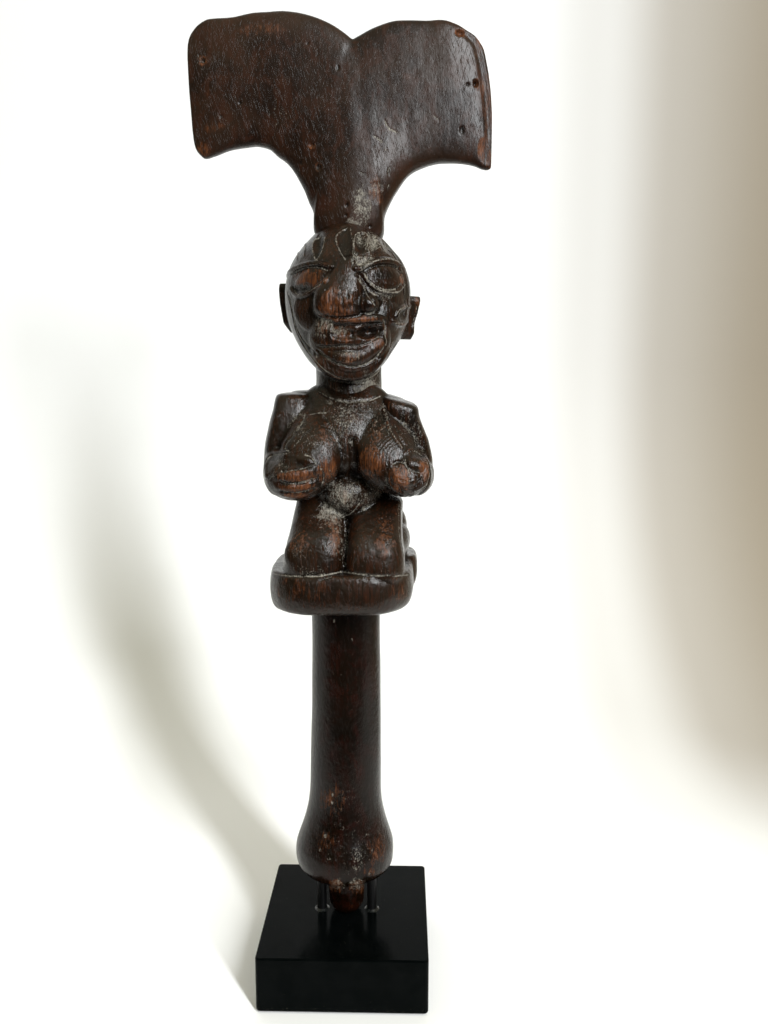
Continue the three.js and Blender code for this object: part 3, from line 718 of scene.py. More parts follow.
# %% The face
face = head_forms[:1]
muzzle = [seen_ball(face, 350, 338, (17, 10, 15), 6.9), seen_ball(face, 346, 362, (13.5, 8, 8), 4.5),
          seen_ball(face, 392, 316, (9, 6, 9), 4.8)]
eyes = [seen_ball(face, 309, 280, (9, 4, 6), 2.6, -10), seen_ball(face, 387, 277, (9.8, 4.4, 6.2), 2.7, 4)]
nose = [
    clay(face, [(347, 258), (346, 270), (343, 284), (338, 299), (337, 309)],
         [(3, 1.5), (4.8, 2), (7.4, 3.4), (9.6, 5.6), (9.6, 5.2)], -0.2, squareness=0.78),
    seen_ball(face, 319, 307, (13, 3.4, 11), 2.3), seen_ball(face, 367, 305, (4.8, 5.2, 4.2), -0.2)]
face = [*face, *muzzle, *eyes, *nose]
lips = [
    clay(face, [(334, 321), (345, 320), (360, 319.5), (374, 318.5), (384, 320)],
         (0.9, 1.6, 1.9, 1.9, 1.4), 0.2),
    clay(face, [(319, 347), (330, 354), (346, 357.5), (362, 355), (375, 348), (384, 340)],
         [(1.2, 0.8), (2.3, 1.4), (2.9, 1.8), (2.9, 1.8), (2.6, 1.6), (1.8, 1.2)], -0.7)]
lids = [
    clay(face, [(355, 269), (363, 268.5), (373, 263.8), (384, 261.3), (393, 262.5), (400, 266)],
         (1, 1.3, 1.6, 1.6, 1.3, 0.8), 0.1),
    clay(face, [(362, 273), (368, 281), (377, 288), (387, 291.7), (395, 291.5), (401, 287)],
         (0.8, 1.2, 1.5, 1.5, 1.2, 0.8), 0),
    clay(face, [(357, 276), (363, 286), (372, 294), (381, 297)], (0.8, 1, 1, 0.8), -0.1),
    clay(face, [(287, 276), (292, 270.5), (300, 267), (310, 264.6), (320, 264.3), (331, 266.5)],
         (0.8, 1, 1.2, 1.2, 1.1, 0.8), 0.1),
    clay(face, [(329, 273.5), (325, 281), (315, 289.5), (303, 295), (295, 295), (291, 288)],
         (0.8, 1.1, 1.2, 1.2, 1.1, 0.8), 0)]
chin = [clay(face, [(294, 322), (299, 337), (308, 350), (318, 360.5), (331, 370), (346, 375), (362, 373.5),
                    (376, 365), (387, 352), (394, 340)],
             [(1.3, 1), (1.9, 1.3), (2.4, 1.6), (2.9, 1.9), (3.3, 2.1), (3.6, 2.2), (3.4, 2.1), (2.8, 1.8),
              (2.2, 1.5), (1.5, 1)], -1.5)]
cheek = [clay(face, [(396, 317), (398, 311), (403, 307), (409, 306)], (0.8, 1, 1, 0.8), 0),
         clay(face, [(392, 321), (398, 324), (404, 323.5), (408, 320)], (0.7, 0.9, 0.9, 0.7), 0)]
head_forms += [*muzzle, *eyes, *nose, *lips, *lids, *chin, *cheek]
print(len(head_forms), "forms of the head")

# %% The hands, the belly and the knees
bulbs = [
    ball(sight_place(296, 478, -21.5), (12.6, 10.5, 9.5), (0, 4, 0), 0.92),
    ball(sight_place(404, 474.5, -20), (10.4, 10.5, 9.5), (0, 0, 0), 0.95)]
chest = [*torso_forms, *bulbs]
left_hand = [
    clay(chest, [(267, 475), (268, 464), (274, 457.5), (286, 454.5)], (2, 2.8, 3, 2.2), -1.2),
    clay(chest, [(299, 459), (308, 461), (315, 468)], (2.2, 3, 2.6), -1.6),
    clay(chest, [(277, 476), (290, 476), (303, 474), (317, 470)], (3, 3.8, 3.8, 3.2), -2.3),
    clay(chest, [(277, 487), (291, 488.5), (305, 487), (319, 482)], (2.2, 2.8, 2.8, 2.4), -1.7),
    clay(chest, [(282, 494), (294, 496), (307, 494), (318, 489.5)], (1.8, 2.2, 2.2, 1.8), -1.3)]
right_hand = [
    seen_ball(chest, 414, 461, (5.4, 2.8, 3.8), 1.7, 30),
    clay(chest, [(404, 456), (411, 451.5), (420, 454), (425.5, 464), (425.5, 474), (422, 483), (415, 489)],
         (1.2, 1.7, 2, 2.2, 2.2, 2, 1.5), -0.6),
    clay(chest, [(391, 467), (395, 476), (402, 482), (413, 482)], (2.2, 2.9, 3, 2.3), -1.7),
    clay(chest, [(387, 475), (391, 486), (400, 493), (411, 495)], (2, 2.6, 2.6, 2), -1.5)]
belly = [
    seen_ball(chest, 346, 497, (9.5, 6, 8), 4.6),
    clay(chest, [(322, 501), (333, 508), (344, 516), (353, 511), (360, 501)], (1, 1.6, 1.8, 1.6, 1), -0.5)]
knees = [seen_ball(leg_forms, 303, 555, (9, 4, 9), 4), seen_ball(leg_forms, 384, 553, (6.5, 4, 6), 3.7)]
torso_forms += [*bulbs, *left_hand, *right_hand, *belly, *knees]

# %% Melt the head and the body
head = melt("wand_head", head_forms, 0.46, 5)
body = melt("wand_body", [platform_form, far_corner, *torso_forms, *leg_forms], 0.64, 4)

# %% [markdown]
# ## Cut the face and the hair
# Every line is a row of picture points with its width and depth in mm and the pale dust left in it.
# Marks are ovals of the picture: a middle, two half axes, and in some a turn in degrees.
# The nose tip and the left half of the mouth were rubbed and broken long ago, so bare fibres show
# there. The hair is a row of leaf-shaped locks that goes round the whole head.

# %% Lines of the face
HEAD_CUTS = [
    ([(291, 275), (299, 270.5), (310, 267.5), (321, 267.8), (328, 271)], 1.7, 0.5, 0.5),
    ([(327, 275), (323, 281), (316, 286.5), (305, 292), (297, 293.5), (293, 288)], 1.7, 0.5, 0.6),
    ([(290.4, 273), (298.4, 267.8), (307.6, 265.3), (318, 264.4), (327, 266.1),
      (336, 265.5)], 1.2, -0.15, 0.5),
    ([(328, 275), (324, 280.5), (318, 286), (306.4, 293), (296.7, 296.7), (291, 291)], 1.2, -0.15, 0.6),
    ([(361.5, 272), (370, 267.5), (382, 265), (395, 267), (404, 274)], 1.8, 0.7, 0.3),
    ([(366, 275), (370, 281), (378, 287), (388, 289.5), (396, 288.5), (402, 283)], 1.5, 0.5, 0.7),
    ([(363.8, 272.4), (367.3, 280.4), (375.3, 288), (386.8, 291.7), (398.3, 291.7),
      (406.5, 284)], 1.3, -0.15, 1),
    ([(358.7, 274.7), (363.3, 284), (373, 293.6), (379, 295)], 1.2, 0.35, 0.8),
    ([(357, 271.2), (362.7, 269.5), (369.6, 264.6), (375.3, 261.1), (386.8, 259.1), (398.3, 262.1),
      (405.7, 270)],
     1.4, -0.1, 0.8),
    ([(363.5, 290), (364, 297), (363.5, 304), (364, 311)], 1.8, 0.6, 0),
    ([(357.5, 277.6), (362.7, 285), (367.3, 294.2), (371.9, 300), (376.5, 306.8)], 1.5, 0.6, 0.6),
    ([(363.8, 312.6), (369.6, 313.7), (375.3, 311.4), (376, 306.8)], 1.5, 0.6, 0.8),
    ([(322, 316), (333, 317.5), (345, 317.5), (355, 316), (363, 314)], 1.8, 0.9, 0.1),
    ([(345.5, 319), (354.7, 317.2), (367.3, 316), (380, 316.6)], 1.1, 0.25, 0.5),
    ([(355, 325.5), (366, 324), (378.8, 323.7), (384, 322)], 1.4, 0.6, 0.2),
    ([(382.8, 318.3), (385.5, 325.2), (385.5, 334.4), (387, 342.4), (385, 347)], 1.4, 0.5, 0.8),
    ([(315.6, 347), (327.1, 347), (345.5, 346), (357, 346), (369.6, 341.8), (383, 335.5)], 1.7, 0.8, 0.4),
    ([(315, 348.7), (327.1, 358.5), (338.6, 364.2), (352.4, 367.1), (362.7, 365.4), (373, 360.2),
      (380, 353.3),
      (385.6, 344.7)], 1.6, 0.7, 0.8),
    ([(287, 289.6), (289.8, 304.5), (293.8, 324), (298.4, 336.7), (307.6, 351.6), (316.8, 363),
      (327, 372.3),
      (339.7, 378.6), (352.4, 381.2), (363.8, 380.1), (375.3, 374.6), (383.4, 365.4), (391.4, 351.6),
      (398.3, 340)], 1.3, 0.35, 0.85),
    ([(289.2, 295.4), (292, 312.6), (296, 327.5), (303, 340), (312.2, 350.5),
      (316.8, 357.3)], 1.2, 0.35, 0.6),
    ([(395.4, 316), (399.4, 310.3), (404, 306.8), (408.6, 306.3)], 1.1, -0.2, 0.8),
    ([(392, 321.8), (397, 323.5), (403, 323.5)], 1.1, -0.2, 0.7),
    ([(391, 352), (398, 343), (404, 337)], 1.3, 0.4, 0.5),
    ([(329, 379.8), (342.2, 382.3), (355.6, 383.2), (365.3, 382.3), (376.2, 377.4)], 1.5, 0.5, 0.6),
    ([(414.3, 302.2), (417, 309), (414.3, 318.3), (411.5, 327.5)], 1.3, 0.5, 0.4),
    ([(410.5, 294.6), (416, 294), (421, 294.6)], 1.1, 0, 0.6),
    ([(420.6, 295), (419.6, 307), (416, 316), (413, 325), (411.5, 336)], 1.1, -0.1, 0.4),
    ([(280.6, 288.2), (286, 287)], 1.1, 0, 0.5)]
LOCK_CUTS = [
    [(316, 262), (313.9, 254), (312.8, 248.3), (314.5, 241.4), (321.4, 234.5)],
    [(316.4, 262), (320.8, 253), (323.7, 246), (324.8, 240.3), (326, 236.2)],
    [(346.5, 262), (342, 254), (338, 247), (336.3, 240.8), (337, 235.7), (343.2, 229.3), (350, 227.4)],
    [(352.4, 265.5), (353, 253), (353, 243.7), (351.2, 234.5), (350, 227.4)],
    [(354.4, 262), (354.4, 253), (354.4, 241.4), (356.4, 234), (363.8, 232.2), (367.3, 236.8),
      (366.7, 244.8),
     (365, 251.7)],
    [(369.6, 255.2), (367.3, 247), (367.3, 240.3), (370.7, 234)],
    [(370.7, 234), (376.5, 238), (378.8, 244.8), (382.2, 253)],
    [(376, 239), (381, 244.8), (386.8, 253), (391.4, 257.5)],
    [(317.3, 230), (326, 224.2), (336.3, 220.7), (346.6, 221.3), (354.7, 224.8)],
    [(320.2, 227), (329.4, 221.3), (339.7, 218.4), (350, 219.6)],
    [(301, 248), (298, 254), (297, 261)], [(306, 240), (305, 250), (304, 258)]]
skin = Skin(head)
skin.uneven(((13, 13, 16), 0.35, 1), ((5, 5, 7), 0.14, 2))
for points, width, depth, dust_and_sheen in HEAD_CUTS:
    skin.cut(points, width, depth, dust_and_sheen)
for points in LOCK_CUTS:
    skin.cut(points, 1.1, -0.4, 0.75)
for across, down, wide, high, depth, turn in [
        (319, 246, 4.5, 14, 1.3, 8), (345, 244, 8, 19, 1.6, 0), (361, 242, 6, 12, 1.2, 0),
        (374, 245, 5, 11, 1, 0), (386, 247, 4, 9, 0.8, -25), (310, 277, 17, 8, 0.5, 0),
        (303, 288, 10, 6, 0.8, -15),
        (388, 276, 17, 9, 0.7, 0), (370, 332, 14, 8, 4, -6), (345, 334, 16, 7, 1.6, 0),
        (403, 315, 3.5, 5.5, 1.3, 15), (340, 304, 15, 13, 0.5, 0), (357, 302, 5, 12, 0.6, 0)]:
    skin.dent(across, down, wide, high, depth, turn)

# %% Locks round the sides and the back, worn fibres, and dust
LOCK_TOP, LOCK_SHOULDER, LOCK_TIP, TIP_OVER_EAR = 336.5, 329, 303, 318
for azimuth in range(68, 310, 27):
    tip = TIP_OVER_EAR if 75 < azimuth < 105 or 255 < azimuth < 285 else LOCK_TIP
    middle = (LOCK_SHOULDER + tip) / 2
    for side in (-1, 1):
        skin.cut([(azimuth, LOCK_TOP), (azimuth + side * 9, LOCK_SHOULDER), (azimuth + side * 8, middle),
                  (azimuth, tip)], 1.5, 0.6, 0.5, look=from_around)
    skin.cut([(azimuth, LOCK_TOP - 3.5), (azimuth, middle), (azimuth, tip + 5)], 5.5, 0.6, look=from_around)
fibres = lumps(skin.base, (0.9, 0.9, 5), 5) + 0.6 * lumps(skin.base, (0.5, 0.5, 2.2), 6)
broken = np.maximum(skin.spot(338, 305, 21, 16), skin.spot(334, 333, 22, 14))
skin.push(0.45 * fibres * np.sqrt(broken))
skin.paint("worn", 0.72, (336, 303, 19, 18), (371, 331, 1.8, 6))
skin.paint("worn", 0.85, (310, 279, 19, 11))
# Painted shade: the hollows of the locks, the open mouth and the right eye are darkened.
skin.paint("shaded_hollow", 0.9, (319, 247, 4.5, 12), (344.5, 245, 6.5, 16), (360.5, 243, 5, 10), (374.5, 244, 4, 9),
           (371, 332, 14, 8), (384, 275, 12, 6))
skin.paint("worn", 0.7, (333, 315, 16, 7), (342, 334, 12, 10), (402, 279, 3, 6), (360, 319, 20, 4))
skin.paint("worn", 0.4, (416, 303, 4, 10))
skin.paint("worn", 0.5, (322, 326, 12, 10), (350, 358, 16, 7), (402, 328, 7, 6), (378, 343, 7, 6))
skin.paint("dust_and_sheen", 0.62, (363, 261, 14, 9), (374, 240, 12, 12), (325, 324, 12, 8), (340, 330, 12, 5))
# Partly pale scratches on the neck, partly painted light where the chin shades the neck.
skin.paint("dust_and_sheen", 0.8, (368, 390, 20, 13))
skin.paint("worn", 0.6, (334, 386, 12, 9))
# The first spot is a painted highlight on the right of the forehead; the others are dust.
skin.paint("dust_and_sheen", 0.5, (387, 246, 6, 9), (332, 390, 14, 7), (385, 297, 9, 6), (350, 356, 16, 8),
           (384, 293, 14, 6), (370, 375, 12, 6), (361, 238, 7, 9), (320, 330, 8, 14))
skin.finish()

# %% [markdown]
# ## Cut the body
# Creases divide arms, breasts, fingers, belly and thighs. On the back, which the picture doesn't show,
# a spine, shoulder blades, a waist and toes are cut in the same plain way.

# %% Lines of the body
BODY_CUTS = [
    ([(304.7, 412.6), (302.3, 421), (295, 432), (284, 446.5), (291, 452)], 1.9, 0.6, 0.45),
    ([(291.4, 447.7), (303.5, 435.6), (312, 427)], 1.6, 0.3, 0.35),
    ([(303.5, 414.4), (310.7, 413.8), (320.4, 412.6), (327.7, 413.2)], 1.3, 0.3, 0.6),
    ([(381.6, 405.3), (386, 417.4), (390.7, 432), (402.8, 450)], 2.2, -0.8, 0.7),
    ([(394.3, 422.3), (400.4, 438), (405.3, 447.7)], 1.7, 0.5, 0.3),
    ([(351, 436), (352.5, 447.7), (353, 462.2), (352, 472), (351.3, 481.6)], 5, 1.7, 0.1),
    ([(264.7, 464), (268.3, 457.4), (273.2, 455), (280.4, 453.8), (290, 452.6)], 1.4, 0.5, 0.7),
    ([(266, 479.8), (270.8, 477.4), (278, 475.6)], 1.3, 0.5, 0.5),
    ([(303.5, 453.8), (310.7, 456.2), (315.6, 462.2), (318, 469.5)], 1.4, 0.5, 0.7),
    ([(279.2, 472), (291.4, 470), (303.5, 467.7), (315.6, 464.7)], 1.5, 0.7, 0.6),
    ([(279.8, 482.2), (291.4, 483.5), (303.5, 482.2), (317, 477.5)], 1.5, 0.7, 0.6),
    ([(279.2, 490.7), (293.8, 493), (307, 491.3), (318, 487)], 1.5, 0.6, 0.6),
    ([(319.2, 464.7), (324, 474.4), (323, 484), (318, 491.3), (303.5, 498.6)], 1.5, 0.6, 0.5),
    ([(327.7, 467), (332.6, 478), (327.7, 487.7), (315.6, 496.2)], 1.3, 0.4, 0.4),
    ([(405.9, 455), (409, 452), (413.7, 450.7), (418.6, 452.6), (424.6, 457.4), (428.3, 464.7),
      (429.5, 474.4),
      (427, 484), (422.2, 491.3), (413.7, 497.4)], 1.4, 0.4, 0.55),
    ([(404.6, 457.4), (407, 466), (413.7, 470.7), (422.2, 473.2)], 1.5, 0.7, 0.5),
    ([(392, 464.7), (398, 461.6), (404.6, 463.5), (407.7, 469.5), (411.3, 475.6)], 1.4, 0.6, 0.5),
    ([(396.8, 475.6), (400.4, 480.4), (406.5, 481.6), (412.5, 480.4)], 1.4, 0.6, 0.6),
    ([(395.6, 478), (398, 485.3), (404, 492.5), (412.5, 497.4)], 1.3, 0.5, 0.4),
    ([(385.3, 476.8), (387, 484), (392, 491.3), (400.4, 497.4)], 1.4, 0.5, 0.5),
    ([(322, 501.2), (331, 506.8), (337.6, 512.4), (344.3, 516.8), (353.2, 512.4), (358.8, 505.7),
      (361, 501)],
     1.7, 0.5, 0.8),
    ([(346, 516.8), (346, 530.2), (346.3, 542.5), (346, 556), (344.3, 567)], 2.6, 1.6, 0.3),
    ([(338, 516.8), (340.4, 530.2), (342, 547), (342.6, 567)], 1.8, 0.1, 0.6),
    ([(399.5, 502.3), (400, 524.6), (401.2, 542.5), (404, 558)], 1.4, 0.3, 0.5),
    ([(271.7, 573.2), (288.5, 576), (308.6, 576.2), (324.2, 575.4), (339.8, 572), (351, 572.6),
      (366.6, 575),
      (383.3, 576), (399, 576), (410, 574.3)], 1.6, 0.3, 0.75),
    ([(318.6, 581), (324.2, 578.8), (333, 576.5)], 1.4, 0.7, 0.4),
    ([(318, 390.8), (327.7, 396.8), (339.8, 400.7), (349.5, 402), (359.2, 401), (371.3, 399.8),
      (381.6, 395.6)],
     1.6, 0.4, 0.6),
    ([(321, 482), (331, 485), (341, 484)], 1.2, 0.3, 0.5), ([(322, 488), (331, 490),
      (338, 490)], 1.2, 0.3, 0.5)]
BACK_CUTS = [
    ([(184, 264), (184, 250), (184, 238), (184, 229)], 4, 1.2), ([(182, 221), (180, 213),
      (180, 205)], 4, 1.8),
    ([(148, 264), (152, 254), (163, 247), (172, 246)], 2.4, 0.7),
    ([(220, 264), (216, 254), (205, 247), (196, 246)], 2.4, 0.7),
    ([(125, 231), (150, 229), (180, 228), (210, 229), (235, 231)], 3, 0.7),
    *[([(azimuth, 203.5), (azimuth, 198)], 1.5, 0.6) for azimuth in (152, 157, 162, 167, 193, 198, 203, 208)]]
skin = Skin(body)
skin.uneven(((14, 14, 18), 0.4, 11), ((5, 5, 7), 0.16, 12), ((2.2, 2.2, 3), 0.06, 13))
for points, width, depth, dust_and_sheen in BODY_CUTS:
    skin.cut(points, width, depth, dust_and_sheen)
for points, width, depth in BACK_CUTS:
    skin.cut(points, width, depth, 0.3, look=from_around)
fibres = lumps(skin.base, (0.9, 0.9, 4), 15)
skin.push(0.3 * fibres * np.sqrt(np.maximum(skin.spot(298, 478, 21, 13), skin.spot(402, 480, 15, 17))))
skin.paint("worn", 0.9, (299, 476, 22, 7), (400, 478, 12, 15))
skin.paint("worn", 0.75, (300, 488, 20, 5), (327, 470, 11, 16), (424, 470, 6, 13), (296, 496, 16, 4),
           (372, 462, 15, 20))
skin.paint("worn", 0.45, (328, 434, 16, 16), (333, 532, 9, 30), (376, 430, 13, 16), (345, 497, 7, 8),
           (384, 535, 14, 26), (300, 545, 12, 16))
skin.paint("worn", 0.3, (310, 592, 34, 11), (401, 590, 14, 16), (290, 590, 18, 14))
skin.paint("dust_and_sheen", 0.48, (345, 420, 18, 30), (350, 402, 34, 6), (350, 487, 28, 9), (362, 498, 14, 14))
# Dust on the belly and the top of the left thigh, laid on thickly as a painted highlight.
skin.paint("dust_and_sheen", 0.7, (344, 497, 19, 19), (330, 514, 16, 14))
# A painted highlight down the inner edge of the left thigh.
skin.paint("dust_and_sheen", 0.42, (338, 540, 8, 28))
# Dust, except the spot at 325, 520, which is a painted highlight on the top of the left thigh.
skin.paint("dust_and_sheen", 0.35, (300, 552, 16, 9), (378, 490, 14, 8), (390, 572, 16, 5), (310, 570, 26, 6),
           (312, 440, 14, 14), (406, 425, 8, 22), (280, 470, 10, 14), (352, 410, 40, 14),
           (420, 430, 14, 26),
           (325, 520, 18, 16), (300, 425, 14, 18), (378, 425, 16, 14))
skin.finish()

# %% [markdown]
# ## Cut the blade and the grip
# The blade has small holes, chips and scratches of long use. Its right end is worn to a reddish bevel
# with crumbled spots of orange wood. Two holes in the pommel take the pins of the stand.

# %% Marks on the blade
skin = Skin(blade)
skin.uneven(((26, 12, 30), 0.45, 21), ((9, 9, 12), 0.18, 22), ((3, 3, 5), 0.06, 23))
for across, down, wide, high, depth in [
        (202.5, 60.5, 2.6, 3, 1.4), (476, 83, 3.2, 4.2, 2), (468, 84, 1.6, 2, 0.8), (460, 32.5, 5, 4, 1.2),
        (483, 150, 5.5, 14, 0.6), (240, 103, 2, 2.4, 0.5), (311.7, 145, 3.5, 3, 0.7),
        (318.7, 167, 3, 4, 0.7),
        (308, 43.6, 1.6, 2, 0.4), (338, 68, 2, 4, 0.4), (221, 117, 2, 3, 0.4), (347, 205, 2, 3, 0.9),
        (346, 215, 1.6, 2, 0.7), (370, 226, 1.8, 2, 0.7), (301, 163, 1.8, 3, 0.4), (462, 130, 3, 5, 0.5),
        (376, 187, 8, 6, 0.3), (375, 197, 7, 8, 0.3)]:
    skin.dent(across, down, wide, high, depth)
for points, depth, dust_and_sheen in [
        ([(384, 119), (388, 127), (393, 131), (399, 133)], 0.25, 0.9),
        ([(372, 135), (378, 139), (383, 143)], 0.25, 0.9),
        ([(433, 114), (436, 118), (441, 120)], 0.2, 0.7), ([(390, 166), (388, 172), (389, 177)], 0.3, 0.8),
        ([(358, 171), (363, 174), (368, 173)], 0.2, 0.6), ([(389, 184), (387, 189)], 0.3, 0.8),
        ([(316, 47), (318, 53), (316, 59)], 0.2, 0.4), ([(197, 53), (199, 59), (196, 65)], 0.25, 0.5),
        ([(276, 98), (276, 106), (274, 112)], 0.2, 0.4), ([(269, 110), (270, 118)], 0.2, 0.5)]:
    skin.cut(points, 1, depth, dust_and_sheen)
bevel = [(462, 31), (470, 34), (479, 43), (483, 55), (486.5, 75), (490, 100), (492, 125), (492.5, 150),
         (491, 166)]
skin.cut([(x - 4, y) for x, y in bevel], 4.4, 0.5, worn=0.55)
skin.paint("worn", 1, (460, 32.5, 6, 5), (483, 150, 6, 14), (490, 158, 5, 12))
skin.paint("worn", 0.6, (202.5, 61, 8, 8), (478, 84, 6, 8), (202, 150, 10, 9), (312, 146, 5, 4), (319, 167, 5, 7),
           (262, 30, 30, 9), (490, 120, 4, 50), (478, 45, 7, 9), (376, 190, 11, 16), (215, 128, 14, 8))
skin.paint("worn", 0.3, (290, 120, 30, 22), (280, 75, 20, 18), (210, 80, 16, 40), (395, 75, 24, 30))
# Dust on the blade's neck, laid on thickly on its right as a painted highlight.
skin.paint("dust_and_sheen", 0.75, (361, 207, 12, 24), (355, 224, 12, 8))
skin.paint("dust_and_sheen", 0.5, (376, 188, 9, 12))
skin.paint("dust_and_sheen", 0.22, (385, 140, 20, 26), (222, 118, 14, 14), (280, 108, 14, 24), (205, 66, 12, 14))
skin.finish()

# %% Pin holes and marks on the grip
PIN_PLAY, DRILL_LENGTH, DRILL_MIDDLE = 0.3, 60, 36.4
for low, high in (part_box("left_pin"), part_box("right_pin")):
    middle, radius = (low + high) / 2, (high.x - low.x) / 2
    deselect()
    bpy.ops.mesh.primitive_cylinder_add(
        vertices=48, radius=radius + PIN_PLAY * MM, depth=DRILL_LENGTH * MM,
        location=(middle.x, middle.y, DRILL_MIDDLE * MM))
    drill = bpy.context.object
    apply_modifier(grip, "BOOLEAN", operation="DIFFERENCE", object=drill, solver="EXACT")
    bpy.data.objects.remove(drill)
skin = Skin(grip)
fading = np.clip((skin.base[:, 2] - POMMEL_UNDERSIDE - 2) / 6, 0, 1)
skin.push(fading * (0.25 * lumps(skin.base, (12, 12, 40), 31) + 0.1 * lumps(skin.base, (5, 5, 16), 32)))
from_axis = np.hypot(*skin.base[:, :2].T)
peg = np.clip((POMMEL_UNDERSIDE - skin.base[:, 2]) / 2, 0, 1) * (from_axis < 10)
skin.push(peg * 0.3 * lumps(skin.base, (2.5, 2.5, 8), 33))
for across, down, wide, high, depth, dust_and_sheen in [
        (332, 795, 1.2, 2.5, 0.3, 0.9), (332, 803, 1.3, 1.5, 0.4, 1), (325, 836, 2, 3, 0.4, 0.6),
        (343.7, 828.5, 1.4, 1.6, 0.3, 0.6), (372.6, 851, 1.4, 3, 0.3, 0.5),
        (329.7, 859, 1.5, 1.5, 0.3, 0.5),
        (320, 850, 1.5, 1.5, 0.3, 0.4), (370, 874, 2, 1.6, 0.4, 0.5), (334, 621, 1, 2.5, 0.3, 0.9),
        (352, 640, 1, 3, 0.2, 0.4), (327, 720, 1, 3, 0.2, 0.4)]:
    skin.dent(across, down, wide, high, depth, dust_and_sheen=dust_and_sheen)
skin.paint("worn", 0.7, (357, 887, 9, 9), (336, 886, 9, 8))
skin.paint("dust_and_sheen", 0.6, (357, 884, 10, 8), (338, 884, 9, 7))
skin.paint("dust_and_sheen", 0.2, (346, 845, 46, 34), (340, 800, 24, 20))
# Painted highlight: a pale patch where the pommel would mirror the white floor.
skin.paint("dust_and_sheen", 0.42, (358, 856, 9, 20))
skin.paint("worn", 0.5, (332, 800, 16, 20), (378, 850, 14, 20), (372, 872, 12, 5), (325, 840, 12, 14))
skin.finish()

# %% [markdown]
# ## The finish of the wood
# Old handled wood has a nearly black patina that turns red-brown where the grain is open and orange
# where it is rubbed bare. Pale dust sits in the cuts. Hollows are darkened as painted shade, and a few
# pale spots are painted highlights. All of it is made from noise stretched along the upright grain, and
# from the marks that were painted and measured on the skin.

# %% A small kit for shader sums
def tone(red, green, blue):
    """A colour given in screen values from 0 to 255, for a shader."""
    return (*[((v / 255 + 0.055) / 1.055) ** 2.4 if v > 10 else v / 255 / 12.92
              for v in (red, green, blue)], 1)


class Value:
    """A socket of a shader that can be used like a number."""

    def __init__(self, tree, socket=None):
        self.tree, self.socket = tree, socket

    def make(self, kind, inputs, output=0, **settings):
        """A node of a kind, fed with values or constants by the name or number of its inputs."""
        node = self.tree.nodes.new("ShaderNode" + kind)
        for key, value in settings.items():
            setattr(node, key, value)
        for key, value in inputs.items():
            if isinstance(value, Value):
                self.tree.links.new(value.socket, node.inputs[key])
            else:
                node.inputs[key].default_value = value
        return Value(self.tree, node.outputs[output])

    def sum(self, operation, first, second=0.0):
        return self.make("Math", {0: first, 1: second}, operation=operation)

    def __add__(self, other):
        return self.sum("ADD", self, other)

    def __sub__(self, other):
        return self.sum("SUBTRACT", self, other)

    def __rsub__(self, other):
        return self.sum("SUBTRACT", other, self)

    def __mul__(self, other):
        return self.sum("MULTIPLY", self, other)

    __radd__, __rmul__ = __add__, __mul__

    def step(self, low, high):
        """0 below low, 1 above high and smooth between them."""
        return self.make("MapRange", {"Value": self, "From Min": low, "From Max": high},
                         interpolation_type="SMOOTHSTEP")

    def blend(self, first, second):
        """The first colour where this value is 0 and the second where it is 1."""
        return self.make("Mix", {0: self, 6: first, 7: second}, 2, data_type="RGBA")

    def feed(self, shader, name):
        self.tree.links.new(self.socket, shader.inputs[name])


class Finish:
    """A new material with its shader, and noise in millimetres on Object coordinates."""

    def __init__(self, name, **constants):
        self.material = bpy.data.materials.new(name)
        self.material.use_nodes = True
        self.tree = self.material.node_tree
        self.shader = self.tree.nodes["Principled BSDF"]
        for key, value in constants.items():
            self.shader.inputs[key.replace("_", " ")].default_value = value
        self.value = Value(self.tree)
        place = self.value.make("TexCoord", {}, "Object")
        self.mm = self.stretch(place, (1000, 1000, 1000))

    def stretch(self, place, scale):
        return self.value.make("VectorMath", {0: place, 1: scale}, operation="MULTIPLY")

    def noise(self, scale, detail=2.0, roughness=0.5, distortion=0.0, turn=0.0):
        """Noise with lumps of 1/scale mm. turn tilts the grain, in degrees, in the picture's plane."""
        place = self.mm
        if turn:
            place = self.value.make("VectorRotate", {"Vector": place, "Axis": (0, 1, 0),
                                                     "Angle": math.radians(turn)})
        return self.value.make("TexNoise", {
            "Vector": self.stretch(place, scale), "Scale": 1, "Detail": detail, "Roughness": roughness,
            "Distortion": distortion}, "Fac")

    def gap(self, centre):
        """How far the surface is from a place in mm."""
        return self.value.make("VectorMath", {0: self.mm, 1: centre}, "Value", operation="DISTANCE")

    def mark(self, name):
        return self.value.make("Attribute", {}, "Fac", attribute_name=name)

    def bump(self, height, distance):
        self.value.make("Bump", {"Strength": 1, "Distance": distance * MM, "Height": height}, "Normal").feed(
            self.shader, "Normal")

    def dress(self, piece):
        piece.data.materials.clear()
        piece.data.materials.append(self.material)


